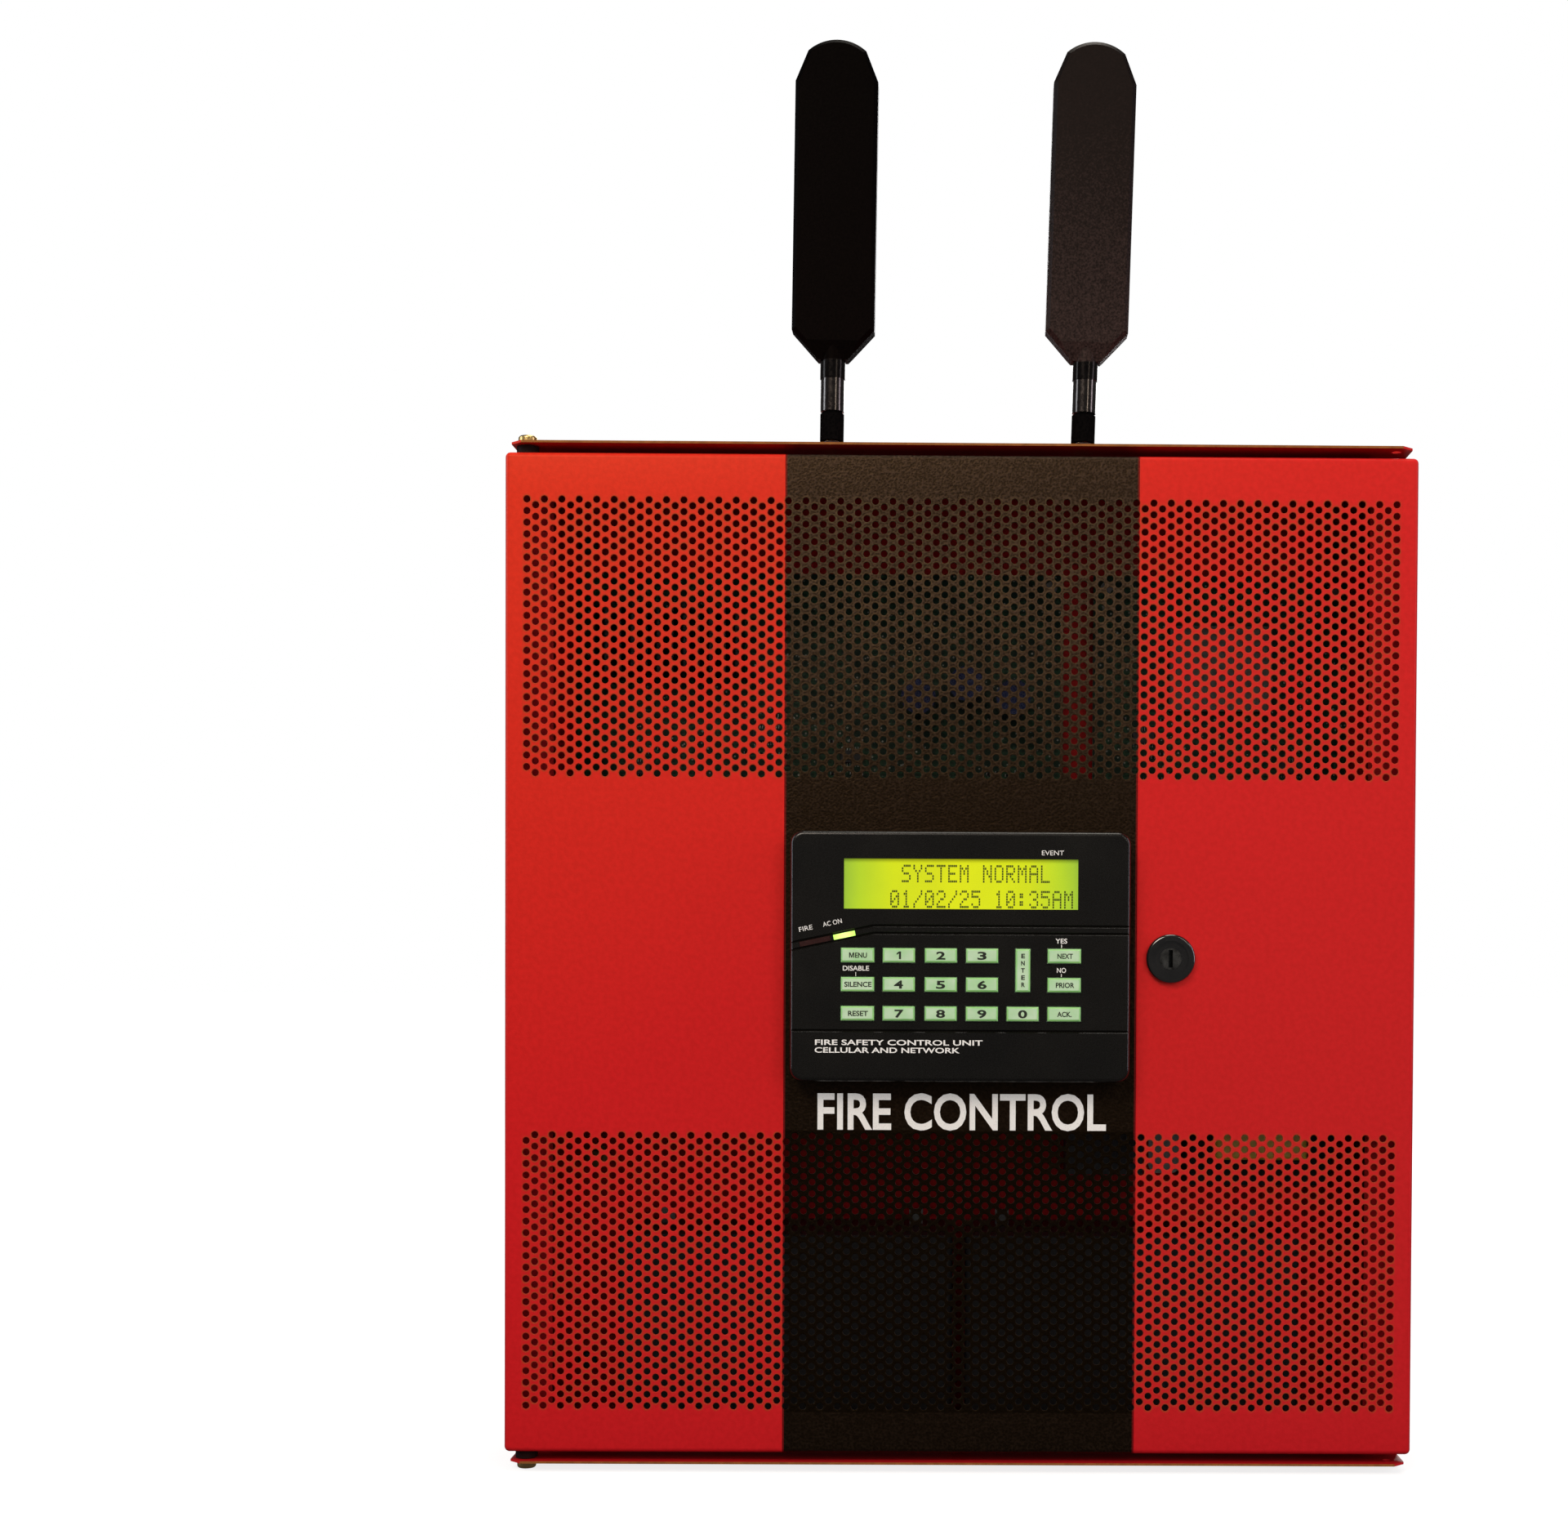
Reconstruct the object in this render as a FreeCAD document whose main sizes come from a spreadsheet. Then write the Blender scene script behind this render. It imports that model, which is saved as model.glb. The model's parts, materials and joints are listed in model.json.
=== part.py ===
import FreeCAD, Part
import math
import os
import re

import Sketcher
from FreeCAD import Placement, Rotation, Vector

# Fire alarm control panel: a red steel cabinet with a perforated door on a vertical hinge, a keypad on
# the door, a cam lock, boards and batteries inside, and two paddle antennas on the top wall.
# Millimetres. Origin: centre of the cabinet's back face, on the wall. X right, +Z up, the front faces -Y.

doc = FreeCAD.newDocument("fire_alarm_control_panel")

# ---------------------------------------------------------------- driving dimensions
DIMENSIONS = {
    # cabinet
    "cabinet_width": 390.0,
    "cabinet_height": 442.0,
    "cabinet_depth": 108.0,
    "wall": 1.0,
    "return_width": 15.5,
    "return_setback": 20.5,
    "lip_clip": 5.0,
    "back_bend": 2.0,
    "wall_hole_radius": 3.25,
    "wall_hole_span_x": 356.0,
    "wall_hole_span_z": 390.0,
    "knockout_radius": 14.1,
    "knockout_groove": 0.9,
    # door
    "door_width": 394.0,
    "door_height": 432.0,
    "door_sheet": 1.2,
    "door_flange": 16.0,
    "door_bend": 2.2,
    "hole_radius": 1.5,
    "hole_step_x": 3.75,
    "hole_step_z": 2.5,
    "hole_columns": 101.0,
    "hole_rows": 48.0,
    "hole_first_row": 195.7,
    "field_half_width": 189.6,
    "field_top": 198.5,
    "field_bottom": 75.5,
    # hinge
    "hinge_x": -188.6,
    "hinge_setback": 8.6,
    "pin_radius": 2.5,
    "pin_head_radius": 4.1,
    "pin_head_height": 3.4,
    "running_clearance": 0.06,
    "bushing_radius": 3.6,
    "bushing_collar_radius": 4.8,
    "bushing_gap": 0.4,
    # keypad
    "keypad_width": 145.2,
    "keypad_height": 107.0,
    "keypad_centre_z": -0.2,
    "keypad_thickness": 13.0,
    "keypad_wall": 2.2,
    "keypad_corner": 5.5,
    "keypad_edge": 1.8,
    "seam_side": 0.9,
    "plate_thickness": 2.0,
    "window_width": 99.8,
    "window_height": 21.2,
    "window_centre_x": 0.2,
    "window_centre_z": 30.8,
    "key_width": 13.6,
    "function_key_width": 14.1,
    "enter_key_width": 6.2,
    "enter_key_height": 18.3,
    "key_height": 6.0,
    "key_rise": 1.9,
    "key_bevel": 0.7,
    "key_gap": 0.35,
    "key_flange": 1.1,
    "key_flange_thickness": 0.8,
    "key_travel": 0.8,
    # lock
    "lock_x": 90.9,
    "lock_z": -0.6,
    "bezel_radius": 10.65,
    "bezel_height": 3.4,
    "bezel_recess_radius": 7.7,
    "bezel_recess": 1.4,
    "barrel_radius": 9.4,
    "barrel_length": 18.0,
    "plug_radius": 4.7,
    "keyway_width": 1.9,
    "keyway_height": 7.6,
    "cam_length": 95.0,
    "cam_width": 14.0,
    "cam_thickness": 2.0,
    "cam_setback": 22.6,
    # antennas
    "antenna_setback": 32.0,
    "antenna_left_x": -58.2,
    "antenna_right_x": 53.4,
    "antenna_left_lean": 0.7,
    "antenna_right_lean": 1.6,
    "thread_radius": 3.1,
    "thread_length": 14.0,
    "connector_flange_radius": 5.5,
    "connector_flange_height": 2.5,
    "antenna_nut_radius": 4.43,
    "antenna_nut_height": 6.6,
    "sleeve_start": 7.2,
    "sleeve_radius": 5.25,
    "sleeve_height": 11.9,
    "sleeve_bore": 3.65,
    "spindle_radius": 2.8,
    "groove_height": 1.1,
    "groove_radius": 4.4,
    "upper_sleeve_height": 14.4,
    "neck_radius": 5.6,
    "neck_height": 7.9,
    "blade_width": 36.5,
    "blade_thickness": 12.4,
    "blade_foot_edge": 8.0,
    "blade_foot_slope": 2.2,
    "blade_foot": 12.8,
    "blade_straight": 109.0,
    "blade_shoulder": 13.4,
    "blade_top_half_width": 12.8,
    "blade_crown": 4.9,
    "blade_bevel": 1.8,
    # inside
    "standoff_height": 10.0,
    "standoff_radius": 3.0,
    "board_thickness": 1.6,
    "screw_radius": 1.5,
    "battery_width": 151.0,
    "battery_height": 94.0,
    "battery_depth": 65.0,
    "battery_gap": 6.0,
}

sizes = doc.addObject("Spreadsheet::Sheet", "sizes")
for row, (alias, value) in enumerate(DIMENSIONS.items(), 1):
    sizes.set(f"A{row}", alias)
    sizes.set(f"B{row}", str(value))
    sizes.setAlias(f"B{row}", alias)
doc.recompute()


def size(alias):
    """The number in the sheet's cell of that name."""
    return float(sizes.get(alias))


# ---------------------------------------------------------------- small helpers
ALONG = {
    "+X": Rotation(Vector(0, 0, 1), Vector(1, 0, 0)),
    "+Y": Rotation(Vector(0, 0, 1), Vector(0, 1, 0)),
    "+Z": Rotation(),
}
NODES = []


def bound(text):
    """An expression in the sheet's terms: every alias in the text becomes a reference to its cell."""
    return re.sub(r"[a-z_]+", lambda m: f"sizes.{m[0]}" if m[0] in DIMENSIONS else m[0], str(text))


def bind(obj, **terms):
    for name, text in terms.items():
        obj.setExpression(name, bound(text))


def place(obj, at, turn=Rotation()):
    """Puts an object's own origin at three expressions, after turning it."""
    obj.Placement = Placement(Vector(), turn)
    for axis, text in zip("xyz", at):
        obj.setExpression(f"Placement.Base.{axis}", bound(text))
    return obj


def box(name, low, extent, turn=Rotation()):
    solid = doc.addObject("Part::Box", name)
    bind(solid, Length=extent[0], Width=extent[1], Height=extent[2])
    return place(solid, low, turn)


def cylinder(name, start, radius, length, along="+Y"):
    solid = doc.addObject("Part::Cylinder", name)
    bind(solid, Radius=radius, Height=length)
    return place(solid, start, ALONG[along])


def fuse(name, shapes):
    joined = doc.addObject("Part::MultiFuse", name)
    joined.Shapes = shapes
    joined.Refine = True
    return joined


def together(name, shapes):
    """Separate solids held in one object."""
    group = doc.addObject("Part::Compound", name)
    group.Links = shapes
    return group


def cut(name, base, tools):
    result = doc.addObject("Part::Cut", name)
    result.Base = base
    result.Tool = tools[0] if len(tools) == 1 else together(name + "_tools", tools)
    return result


def rounded(name, base, radius, chosen, kind="Part::Fillet"):
    """Fillets or chamfers the base's edges that the test picks."""
    doc.recompute()
    result = doc.addObject(kind, name)
    result.Base = base
    edges = base.Shape.Edges
    result.Edges = [(i, radius, radius) for i, edge in enumerate(edges, 1) if chosen(edge)]
    return result


def node(label, obj):
    """Names a finished sub-part and lists it for export."""
    obj.Label = label
    NODES.append(obj)
    return obj


def middle(edge):
    return edge.valueAt((edge.FirstParameter + edge.LastParameter) / 2)


def near(a, b):
    return abs(a - b) < 1e-4


def runs_along(edge, axis):
    """Whether a straight edge lies along x, y or z."""
    if edge.Curve.TypeId != "Part::GeomLine":
        return False
    return near(abs(getattr(edge.Curve.Direction, axis)), 1.0)


def new_body(name, at, turn=Rotation()):
    body = doc.addObject("PartDesign::Body", name)
    place(body, at, turn)
    return body


def sketch_on(body, role, name):
    plane = next(f for f in body.Origin.OriginFeatures if f.Role == role)
    sketch = body.newObject("Sketcher::SketchObject", name)
    sketch.AttachmentSupport = [(plane, "")]
    sketch.MapMode = "FlatFace"
    return sketch


def rectangle(sketch, width, height):
    """A rectangle centred on the sketch's origin, its two sides bound to the sheet."""
    corners = [Vector(-5, -3, 0), Vector(5, -3, 0), Vector(5, 3, 0), Vector(-5, 3, 0)]
    for i in range(4):
        sketch.addGeometry(Part.LineSegment(corners[i], corners[(i + 1) % 4]), False)
    for i in range(4):
        sketch.addConstraint(Sketcher.Constraint("Coincident", i, 2, (i + 1) % 4, 1))
    for i, way in enumerate(["Horizontal", "Vertical", "Horizontal", "Vertical"]):
        sketch.addConstraint(Sketcher.Constraint(way, i))
    sketch.addConstraint(Sketcher.Constraint("Symmetric", 0, 1, 1, 2, -1, 1))
    across = sketch.addConstraint(Sketcher.Constraint("DistanceX", 0, 1, 0, 2, 10.0))
    upright = sketch.addConstraint(Sketcher.Constraint("DistanceY", 1, 1, 1, 2, 6.0))
    sketch.renameConstraint(across, "width")
    sketch.renameConstraint(upright, "height")
    sketch.setExpression("Constraints.width", bound(width))
    sketch.setExpression("Constraints.height", bound(height))


def pad(body, sketch, name, length, reverse=False):
    feature = body.newObject("PartDesign::Pad", name)
    feature.Profile = sketch
    bind(feature, Length=length)
    feature.Reversed = reverse
    return feature


def pocket(body, sketch, name, length, reverse=False):
    feature = body.newObject("PartDesign::Pocket", name)
    feature.Profile = sketch
    bind(feature, Length=length)
    feature.Reversed = reverse
    return feature


# ---------------------------------------------------------------- cabinet
HALF_W, HALF_H = "cabinet_width/2", "cabinet_height/2"
PIN_Y = "-cabinet_depth + hinge_setback"
ANTENNA_Y = "-cabinet_depth + antenna_setback"


def make_cabinet():
    """One welded sheet-steel box: side walls with inward returns, top and bottom walls that reach
    forward past them to the door's front, and a back wall with four mounting holes."""
    outer = box("cabinet_outer", [f"-{HALF_W}", "-cabinet_depth", f"-{HALF_H}"],
                ["cabinet_width", "cabinet_depth", "cabinet_height"])
    outer = rounded("cabinet_bends", outer, size("back_bend"),
                    lambda e: near(middle(e).y, 0) and not runs_along(e, "y"))
    clip = size("lip_clip")
    outer = rounded("cabinet_clips", outer, clip,
                    lambda e: runs_along(e, "z") and near(middle(e).y, -size("cabinet_depth")),
                    "Part::Chamfer")
    inside = box("cabinet_inside", [f"-{HALF_W} + wall", "-cabinet_depth - 1", f"-{HALF_H} + wall"],
                 ["cabinet_width - 2*wall", "cabinet_depth + 1 - wall", "cabinet_height - 2*wall"])
    short_sides = box("cabinet_short_sides", [f"-{HALF_W} - 1", "-cabinet_depth - 1", f"-{HALF_H} + wall"],
                      ["cabinet_width + 2", "return_setback + 1", "cabinet_height - 2*wall"])
    hollow = cut("cabinet_hollow", outer, [fuse("cabinet_space", [inside, short_sides])])
    returns = []
    for side, low in (("left", f"-{HALF_W}"), ("right", f"{HALF_W} - return_width")):
        returns.append(box(f"{side}_return", [low, "-cabinet_depth + return_setback", f"-{HALF_H} + wall"],
                           ["return_width", "wall", "cabinet_height - 2*wall"]))
    shell = fuse("cabinet_shell", [hollow] + returns)
    holes = []
    for i, (sx, sz) in enumerate([(-1, -1), (1, -1), (1, 1), (-1, 1)]):
        holes.append(cylinder(f"wall_hole_{i}", [f"{sx}*wall_hole_span_x/2", "-wall - 1",
                                                 f"{sz}*wall_hole_span_z/2"],
                              "wall_hole_radius", "wall + 2"))
    for side, x in (("left", "antenna_left_x"), ("right", "antenna_right_x")):
        holes.append(cylinder(f"{side}_antenna_hole", [x, ANTENNA_Y, f"{HALF_H} - wall - 1"],
                              "thread_radius + 0.1", "wall + 2", "+Z"))
    for name, x, radius in (("pin", "hinge_x", "pin_radius"), ("spare", "-hinge_x", "pin_radius - 0.3")):
        for end, z in (("top", f"{HALF_H} - wall - 1"), ("bottom", f"-{HALF_H} - 1")):
            holes.append(cylinder(f"{end}_{name}_hole", [x, PIN_Y, z], radius, "wall + 2", "+Z"))
    for i, spot in enumerate(knockout_spots()):
        holes.append(knockout(i, *spot))
    return node("enclosure_box", cut("cabinet_drilled", shell, holes))


def knockout_spots():
    """Where the part-punched conduit discs are: the wall's outer face, the way out of it, the place."""
    top, side = "cabinet_height/2", "cabinet_width/2"
    groove = "0.6"
    return [
        ("+Z", [-140, -38, f"{top} - {groove}"]),
        ("+Z", [128, -38, f"{top} - {groove}"]),
        ("+Z", [-100, -38, f"-{top} - 1 + {groove}"]),
        ("+Z", [100, -38, f"-{top} - 1 + {groove}"]),
        ("+X", [f"{side} - {groove}", -42, 120]),
        ("+X", [f"{side} - {groove}", -42, -60]),
        ("+X", [f"-{side} - 1 + {groove}", -42, 120]),
        ("+X", [f"-{side} - 1 + {groove}", -42, -60]),
    ]


def knockout(i, along, start):
    """The ring-shaped groove of one part-punched disc."""
    disc = cylinder(f"knockout_{i}_disc", start, "knockout_radius", 1, along)
    core = cylinder(f"knockout_{i}_core", start, "knockout_radius - knockout_groove", 1, along)
    return cut(f"knockout_{i}", disc, [core])


def make_hinge():
    """Two riveted pins in the top and bottom walls, and the shouldered bushings that they turn in."""
    gap = "(cabinet_height/2 - wall - door_height/2)"
    pins, bushings = [], []
    for end, sign in (("top", 1), ("bottom", -1)):
        def upright(name, start, height, radius):
            """A cylinder that starts at a height above the middle, mirrored for the bottom hinge."""
            z = start if sign > 0 else f"-({start}) - ({height})"
            return cylinder(f"{end}_{name}", ["hinge_x", PIN_Y, z], radius, height, "+Z")

        head = upright("pin_head", HALF_H, "pin_head_height", "pin_head_radius")
        crown = size("cabinet_height") / 2 + size("pin_head_height")
        head = rounded(f"{end}_pin_dome", head, 1.2, lambda e: near(abs(middle(e).z), crown))
        shank = upright("pin_shank", f"{HALF_H} - 12", "12", "pin_radius")
        pins.append(fuse(f"{end}_pin", [head, shank]))
        collar = upright("bushing_collar", "door_height/2", f"{gap} - bushing_gap", "bushing_collar_radius")
        barrel = upright("bushing_barrel", "door_height/2 - door_sheet - 2.4", "door_sheet + 2.4",
                         "bushing_radius")
        bore = upright("bushing_bore", "door_height/2 - 6", "12", "pin_radius + running_clearance")
        bushings.append(cut(f"{end}_bushing", fuse(f"{end}_bushing_body", [collar, barrel]), [bore]))
    node("hinge_pins", together("hinge_pin_pair", pins))
    node("hinge_bushings", together("hinge_bushing_pair", bushings))


# ---------------------------------------------------------------- door
def hole_heights(column, sign):
    """The heights of one column's holes in the upper (+1) or lower (-1) perforated band."""
    first, step = size("hole_first_row"), size("hole_step_z")
    rows = range(column % 2, int(size("hole_rows")), 2)
    return [sign * (first - row * step) for row in rows]


def perforated_band(name, sign):
    """A band of sheet with round holes in a diamond lattice. It is laid out as upright strips that
    share their edges, so that no one face carries more than a few dozen holes."""
    columns, step, radius = int(size("hole_columns")), size("hole_step_x"), size("hole_radius")
    strip_columns = 3
    edge = size("field_half_width")
    low, high = sorted([sign * size("field_bottom"), sign * size("field_top")])
    column_x = [step * (i - (columns - 1) / 2) for i in range(columns)]
    groups = [range(i, min(i + strip_columns, columns)) for i in range(0, columns, strip_columns)]
    borders = [-edge] + [column_x[g[-1]] + step / 2 for g in groups[:-1]] + [edge]
    ends = [[Part.Vertex(Vector(x, 0, z)) for x in borders] for z in (low, high)]
    uprights = [Part.Edge(a, b) for a, b in zip(*ends)]
    rails = [[Part.Edge(a, b) for a, b in zip(row, row[1:])] for row in ends]
    faces = []
    for i, group in enumerate(groups):
        outline = Part.Wire([rails[0][i], uprights[i + 1], rails[1][i], uprights[i]])
        holes = [Part.Wire([Part.Circle(Vector(column_x[c], 0, z), Vector(0, 1, 0), radius).toShape()])
                 for c in group for z in hole_heights(c, sign)]
        faces.append(Part.Face([outline] + holes))
    strips = Part.Shell(faces).extrude(Vector(0, size("door_sheet"), 0))
    skin = {}
    for face in (f for strip in strips.Solids for f in strip.Faces):
        skin.setdefault(face.hashCode(), []).append(face)
    band = doc.addObject("Part::Feature", name)
    band.Shape = Part.Solid(Part.Shell([same[0] for same in skin.values() if len(same) == 1]))
    band.Placement = Placement(Vector(0, -size("cabinet_depth"), 0), Rotation())
    return band


def make_door():
    """The door: a shallow pan bent from one perforated sheet, its flanges turned back all round."""
    depth, sheet = size("cabinet_depth"), size("door_sheet")
    outer = box("door_outer", ["-door_width/2", "-cabinet_depth", "-door_height/2"],
                ["door_width", "door_flange", "door_height"])
    outer = rounded("door_outer_bends", outer, size("door_bend"),
                    lambda e: runs_along(e, "y") or near(middle(e).y, -depth))
    inner = box("door_inner", ["-door_width/2 + door_sheet", "-cabinet_depth + door_sheet",
                               "-door_height/2 + door_sheet"],
                ["door_width - 2*door_sheet", "door_flange", "door_height - 2*door_sheet"])
    inner = rounded("door_inner_bends", inner, size("door_bend") - sheet,
                    lambda e: runs_along(e, "y") or near(middle(e).y, -depth + sheet))
    openings = [
        box("wiring_cutout", [-30, "-cabinet_depth - 1", "keypad_centre_z - 20"],
            [60, "door_sheet + 2", 40]),
        cylinder("lock_hole", ["lock_x", "-cabinet_depth - 1", "lock_z"], "barrel_radius",
                 "door_sheet + 2"),
    ]
    for name, low in (("upper", "field_bottom"), ("lower", "-field_top")):
        openings.append(box(f"{name}_band_place", ["-field_half_width", "-cabinet_depth - 1", low],
                            ["2*field_half_width", "door_sheet + 2", "field_top - field_bottom"]))
    for i, (x, z) in enumerate(keypad_screw_places()):
        openings.append(cylinder(f"keypad_screw_hole_{i}", [x, "-cabinet_depth - 1", z],
                                 "screw_radius + 0.3", "door_sheet + 2"))
    for end, z in (("top", "door_height/2 - 5"), ("bottom", "-door_height/2 - 5")):
        openings.append(cylinder(f"{end}_bushing_hole", ["hinge_x", PIN_Y, z], "bushing_radius", 10, "+Z"))
    pan = cut("door_pan", cut("door_blank", outer, [inner]), openings)
    door = doc.addObject("Part::MultiFuse", "door_sheet_metal")
    door.Shapes = [pan, perforated_band("upper_band", 1), perforated_band("lower_band", -1)]
    door.Refine = False
    return node("door_panel", door)


def keypad_screw_places():
    return [(x, f"keypad_centre_z + {z}") for x in (-62, 62) for z in (-44, 44)]


# ---------------------------------------------------------------- keypad
KEYPAD_FRONT = "-cabinet_depth - keypad_thickness"
WINDOW_LOW = ["window_centre_x - window_width/2", "window_centre_z - window_height/2"]
COLUMNS = [-43.8, -26.2, -8.3, 9.3, 26.7, 44.4]
ROWS = [0.3, -12.1, -24.5]
ENTER_CENTRE_Z = -5.9
# name, column, height of the centre, width and height of the cap
KEYS = [
    ("menu", 0, ROWS[0], "function_key_width", "key_height"),
    ("1", 1, ROWS[0], "key_width", "key_height"),
    ("2", 2, ROWS[0], "key_width", "key_height"),
    ("3", 3, ROWS[0], "key_width", "key_height"),
    ("next", 5, ROWS[0], "function_key_width", "key_height"),
    ("silence", 0, ROWS[1], "function_key_width", "key_height"),
    ("4", 1, ROWS[1], "key_width", "key_height"),
    ("5", 2, ROWS[1], "key_width", "key_height"),
    ("6", 3, ROWS[1], "key_width", "key_height"),
    ("prior", 5, ROWS[1], "function_key_width", "key_height"),
    ("reset", 0, ROWS[2], "function_key_width", "key_height"),
    ("7", 1, ROWS[2], "key_width", "key_height"),
    ("8", 2, ROWS[2], "key_width", "key_height"),
    ("9", 3, ROWS[2], "key_width", "key_height"),
    ("0", 4, ROWS[2], "key_width", "key_height"),
    ("acknowledge", 5, ROWS[2], "function_key_width", "key_height"),
    ("enter", 4, ENTER_CENTRE_Z, "enter_key_width", "enter_key_height"),
]
KEY_BACK = f"{KEYPAD_FRONT} + keypad_wall + 0.3 + key_flange_thickness"
MEMBRANE_Y = f"{KEY_BACK} + key_travel + 0.3"
RIB_SLOPE = 12.0
RIB_BEND_X = -37.0
RIB_SEAMS = {"upper": 12.9, "lower": 9.7}
FOOT_SEAM_Z = -32.0


def make_key(name, column, z, width, height):
    """A bevelled cap on a wider flange that keeps it behind the keypad's front wall."""
    body = new_body(f"key_{name}_body", [COLUMNS[column], KEY_BACK, z])
    flange_sketch = sketch_on(body, "XZ_Plane", f"key_{name}_flange_outline")
    rectangle(flange_sketch, f"{width} + 2*key_flange", f"{height} + 2*key_flange")
    pad(body, flange_sketch, f"key_{name}_flange", "key_flange_thickness")
    cap_sketch = sketch_on(body, "XZ_Plane", f"key_{name}_cap_outline")
    rectangle(cap_sketch, width, height)
    cap = pad(body, cap_sketch, f"key_{name}_cap", "key_flange_thickness + 0.3 + keypad_wall + key_rise")
    doc.recompute()
    faces = cap.Shape.Faces
    front = min(range(len(faces)), key=lambda i: faces[i].CenterOfMass.y)
    bevel = body.newObject("PartDesign::Chamfer", f"key_{name}_bevel")
    bevel.Base = (cap, [f"Face{front + 1}"])
    bind(bevel, Size="key_bevel")
    body.Tip = bevel
    return node(f"key_{name}", body)


def make_keypad_front():
    """The keypad's moulded front: rounded, hollow behind, with its window, key openings and seams."""
    body = new_body("keypad_front_body", [0, "-cabinet_depth", "keypad_centre_z"])
    outline = sketch_on(body, "XZ_Plane", "keypad_outline")
    rectangle(outline, "keypad_width", "keypad_height")
    block = pad(body, outline, "keypad_block", "keypad_thickness")
    doc.recompute()
    corners = body.newObject("PartDesign::Fillet", "keypad_corners")
    corners.Base = (block, [f"Edge{i}" for i, e in enumerate(block.Shape.Edges, 1) if runs_along(e, "y")])
    bind(corners, Radius="keypad_corner")
    doc.recompute()
    faces = corners.Shape.Faces
    front = min(range(len(faces)), key=lambda i: faces[i].CenterOfMass.y)
    edge = body.newObject("PartDesign::Fillet", "keypad_front_edge")
    edge.Base = (corners, [f"Face{front + 1}"])
    bind(edge, Radius="keypad_edge")
    inside = sketch_on(body, "XZ_Plane", "keypad_inside")
    rectangle(inside, "keypad_width - 2*keypad_wall", "keypad_height - 2*keypad_wall")
    hollow = pocket(body, inside, "keypad_hollow", "keypad_thickness - keypad_wall", True)
    body.Tip = hollow
    tools = [box("window_opening",
                 [f"{WINDOW_LOW[0]} - 0.1", f"{KEYPAD_FRONT} - 1", f"{WINDOW_LOW[1]} - 0.1"],
                 ["window_width + 0.2", "keypad_wall + 2", "window_height + 0.2"])]
    for name, column, z, width, height in KEYS:
        tools.append(box(f"key_{name}_opening",
                         [f"{COLUMNS[column]} - {width}/2 - key_gap", f"{KEYPAD_FRONT} - 1",
                          f"{z} - {height}/2 - key_gap"],
                         [f"{width} + 2*key_gap", "keypad_wall + 2", f"{height} + 2*key_gap"]))
    for i in range(6):
        tools.append(box(f"sounder_slot_{i}", [-31 + 8.5 * i, f"{KEYPAD_FRONT} + 3", "keypad_centre_z + 50"],
                         [6.8, 5.0, 10]))
    tools += seam_tools()
    for name in ("alarm", "power"):
        tools.append(light_bar(f"{name}_light_slot", name, 0.1))
    return node("keypad_front_housing", cut("keypad_front_cut", body, tools))


def seam_tools():
    """V-shaped grooves on the keypad's face: a pair that runs level and then slopes down at the left,
    and a single one across the foot. Each tool is a square bar turned onto its edge."""
    reach = size("keypad_width") / 2 + 1
    depth = "seam_side/sqrt(2)"
    on_edge = Rotation(Vector(1, 0, 0), 45)
    tools = [box("foot_seam", [-reach, KEYPAD_FRONT, f"{FOOT_SEAM_Z} - {depth}"],
                 [2 * reach, "seam_side", "seam_side"], on_edge)]
    run = (reach + RIB_BEND_X) / math.cos(math.radians(RIB_SLOPE))
    drop = run * math.sin(math.radians(RIB_SLOPE))
    slope = Rotation(Vector(0, 1, 0), -RIB_SLOPE)
    for name, z in RIB_SEAMS.items():
        level = box(f"{name}_seam_level", [RIB_BEND_X, KEYPAD_FRONT, f"{z} - {depth}"],
                    [reach - RIB_BEND_X, "seam_side", "seam_side"], on_edge)
        sloped = box(f"{name}_seam_sloped", [-reach, KEYPAD_FRONT, f"{z} - {drop} - {depth}"],
                     [run + 0.1, "seam_side", "seam_side"], slope * on_edge)
        tools.append(fuse(f"{name}_seam", [level, sloped]))
    return tools


LIGHTS = {"alarm": (-68.4, 13.4), "power": (-53.9, 9.3)}
LIGHT_HEIGHT = 2.1


def light_bar(name, light, gap):
    """A bar in the sloping rib, from behind the front wall to its face, grown by a gap."""
    x, length = LIGHTS[light]
    z = 10.35 - (RIB_BEND_X - x) * math.tan(math.radians(RIB_SLOPE))
    grow = 1.0 if gap else 0.0
    return box(name, [x - gap, f"{KEYPAD_FRONT} + 0.1 - {grow}", z - gap],
               [length + 2 * gap, f"keypad_wall + 1.5 + 2*{grow}", LIGHT_HEIGHT + 2 * gap],
               Rotation(Vector(0, 1, 0), -RIB_SLOPE))


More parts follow.
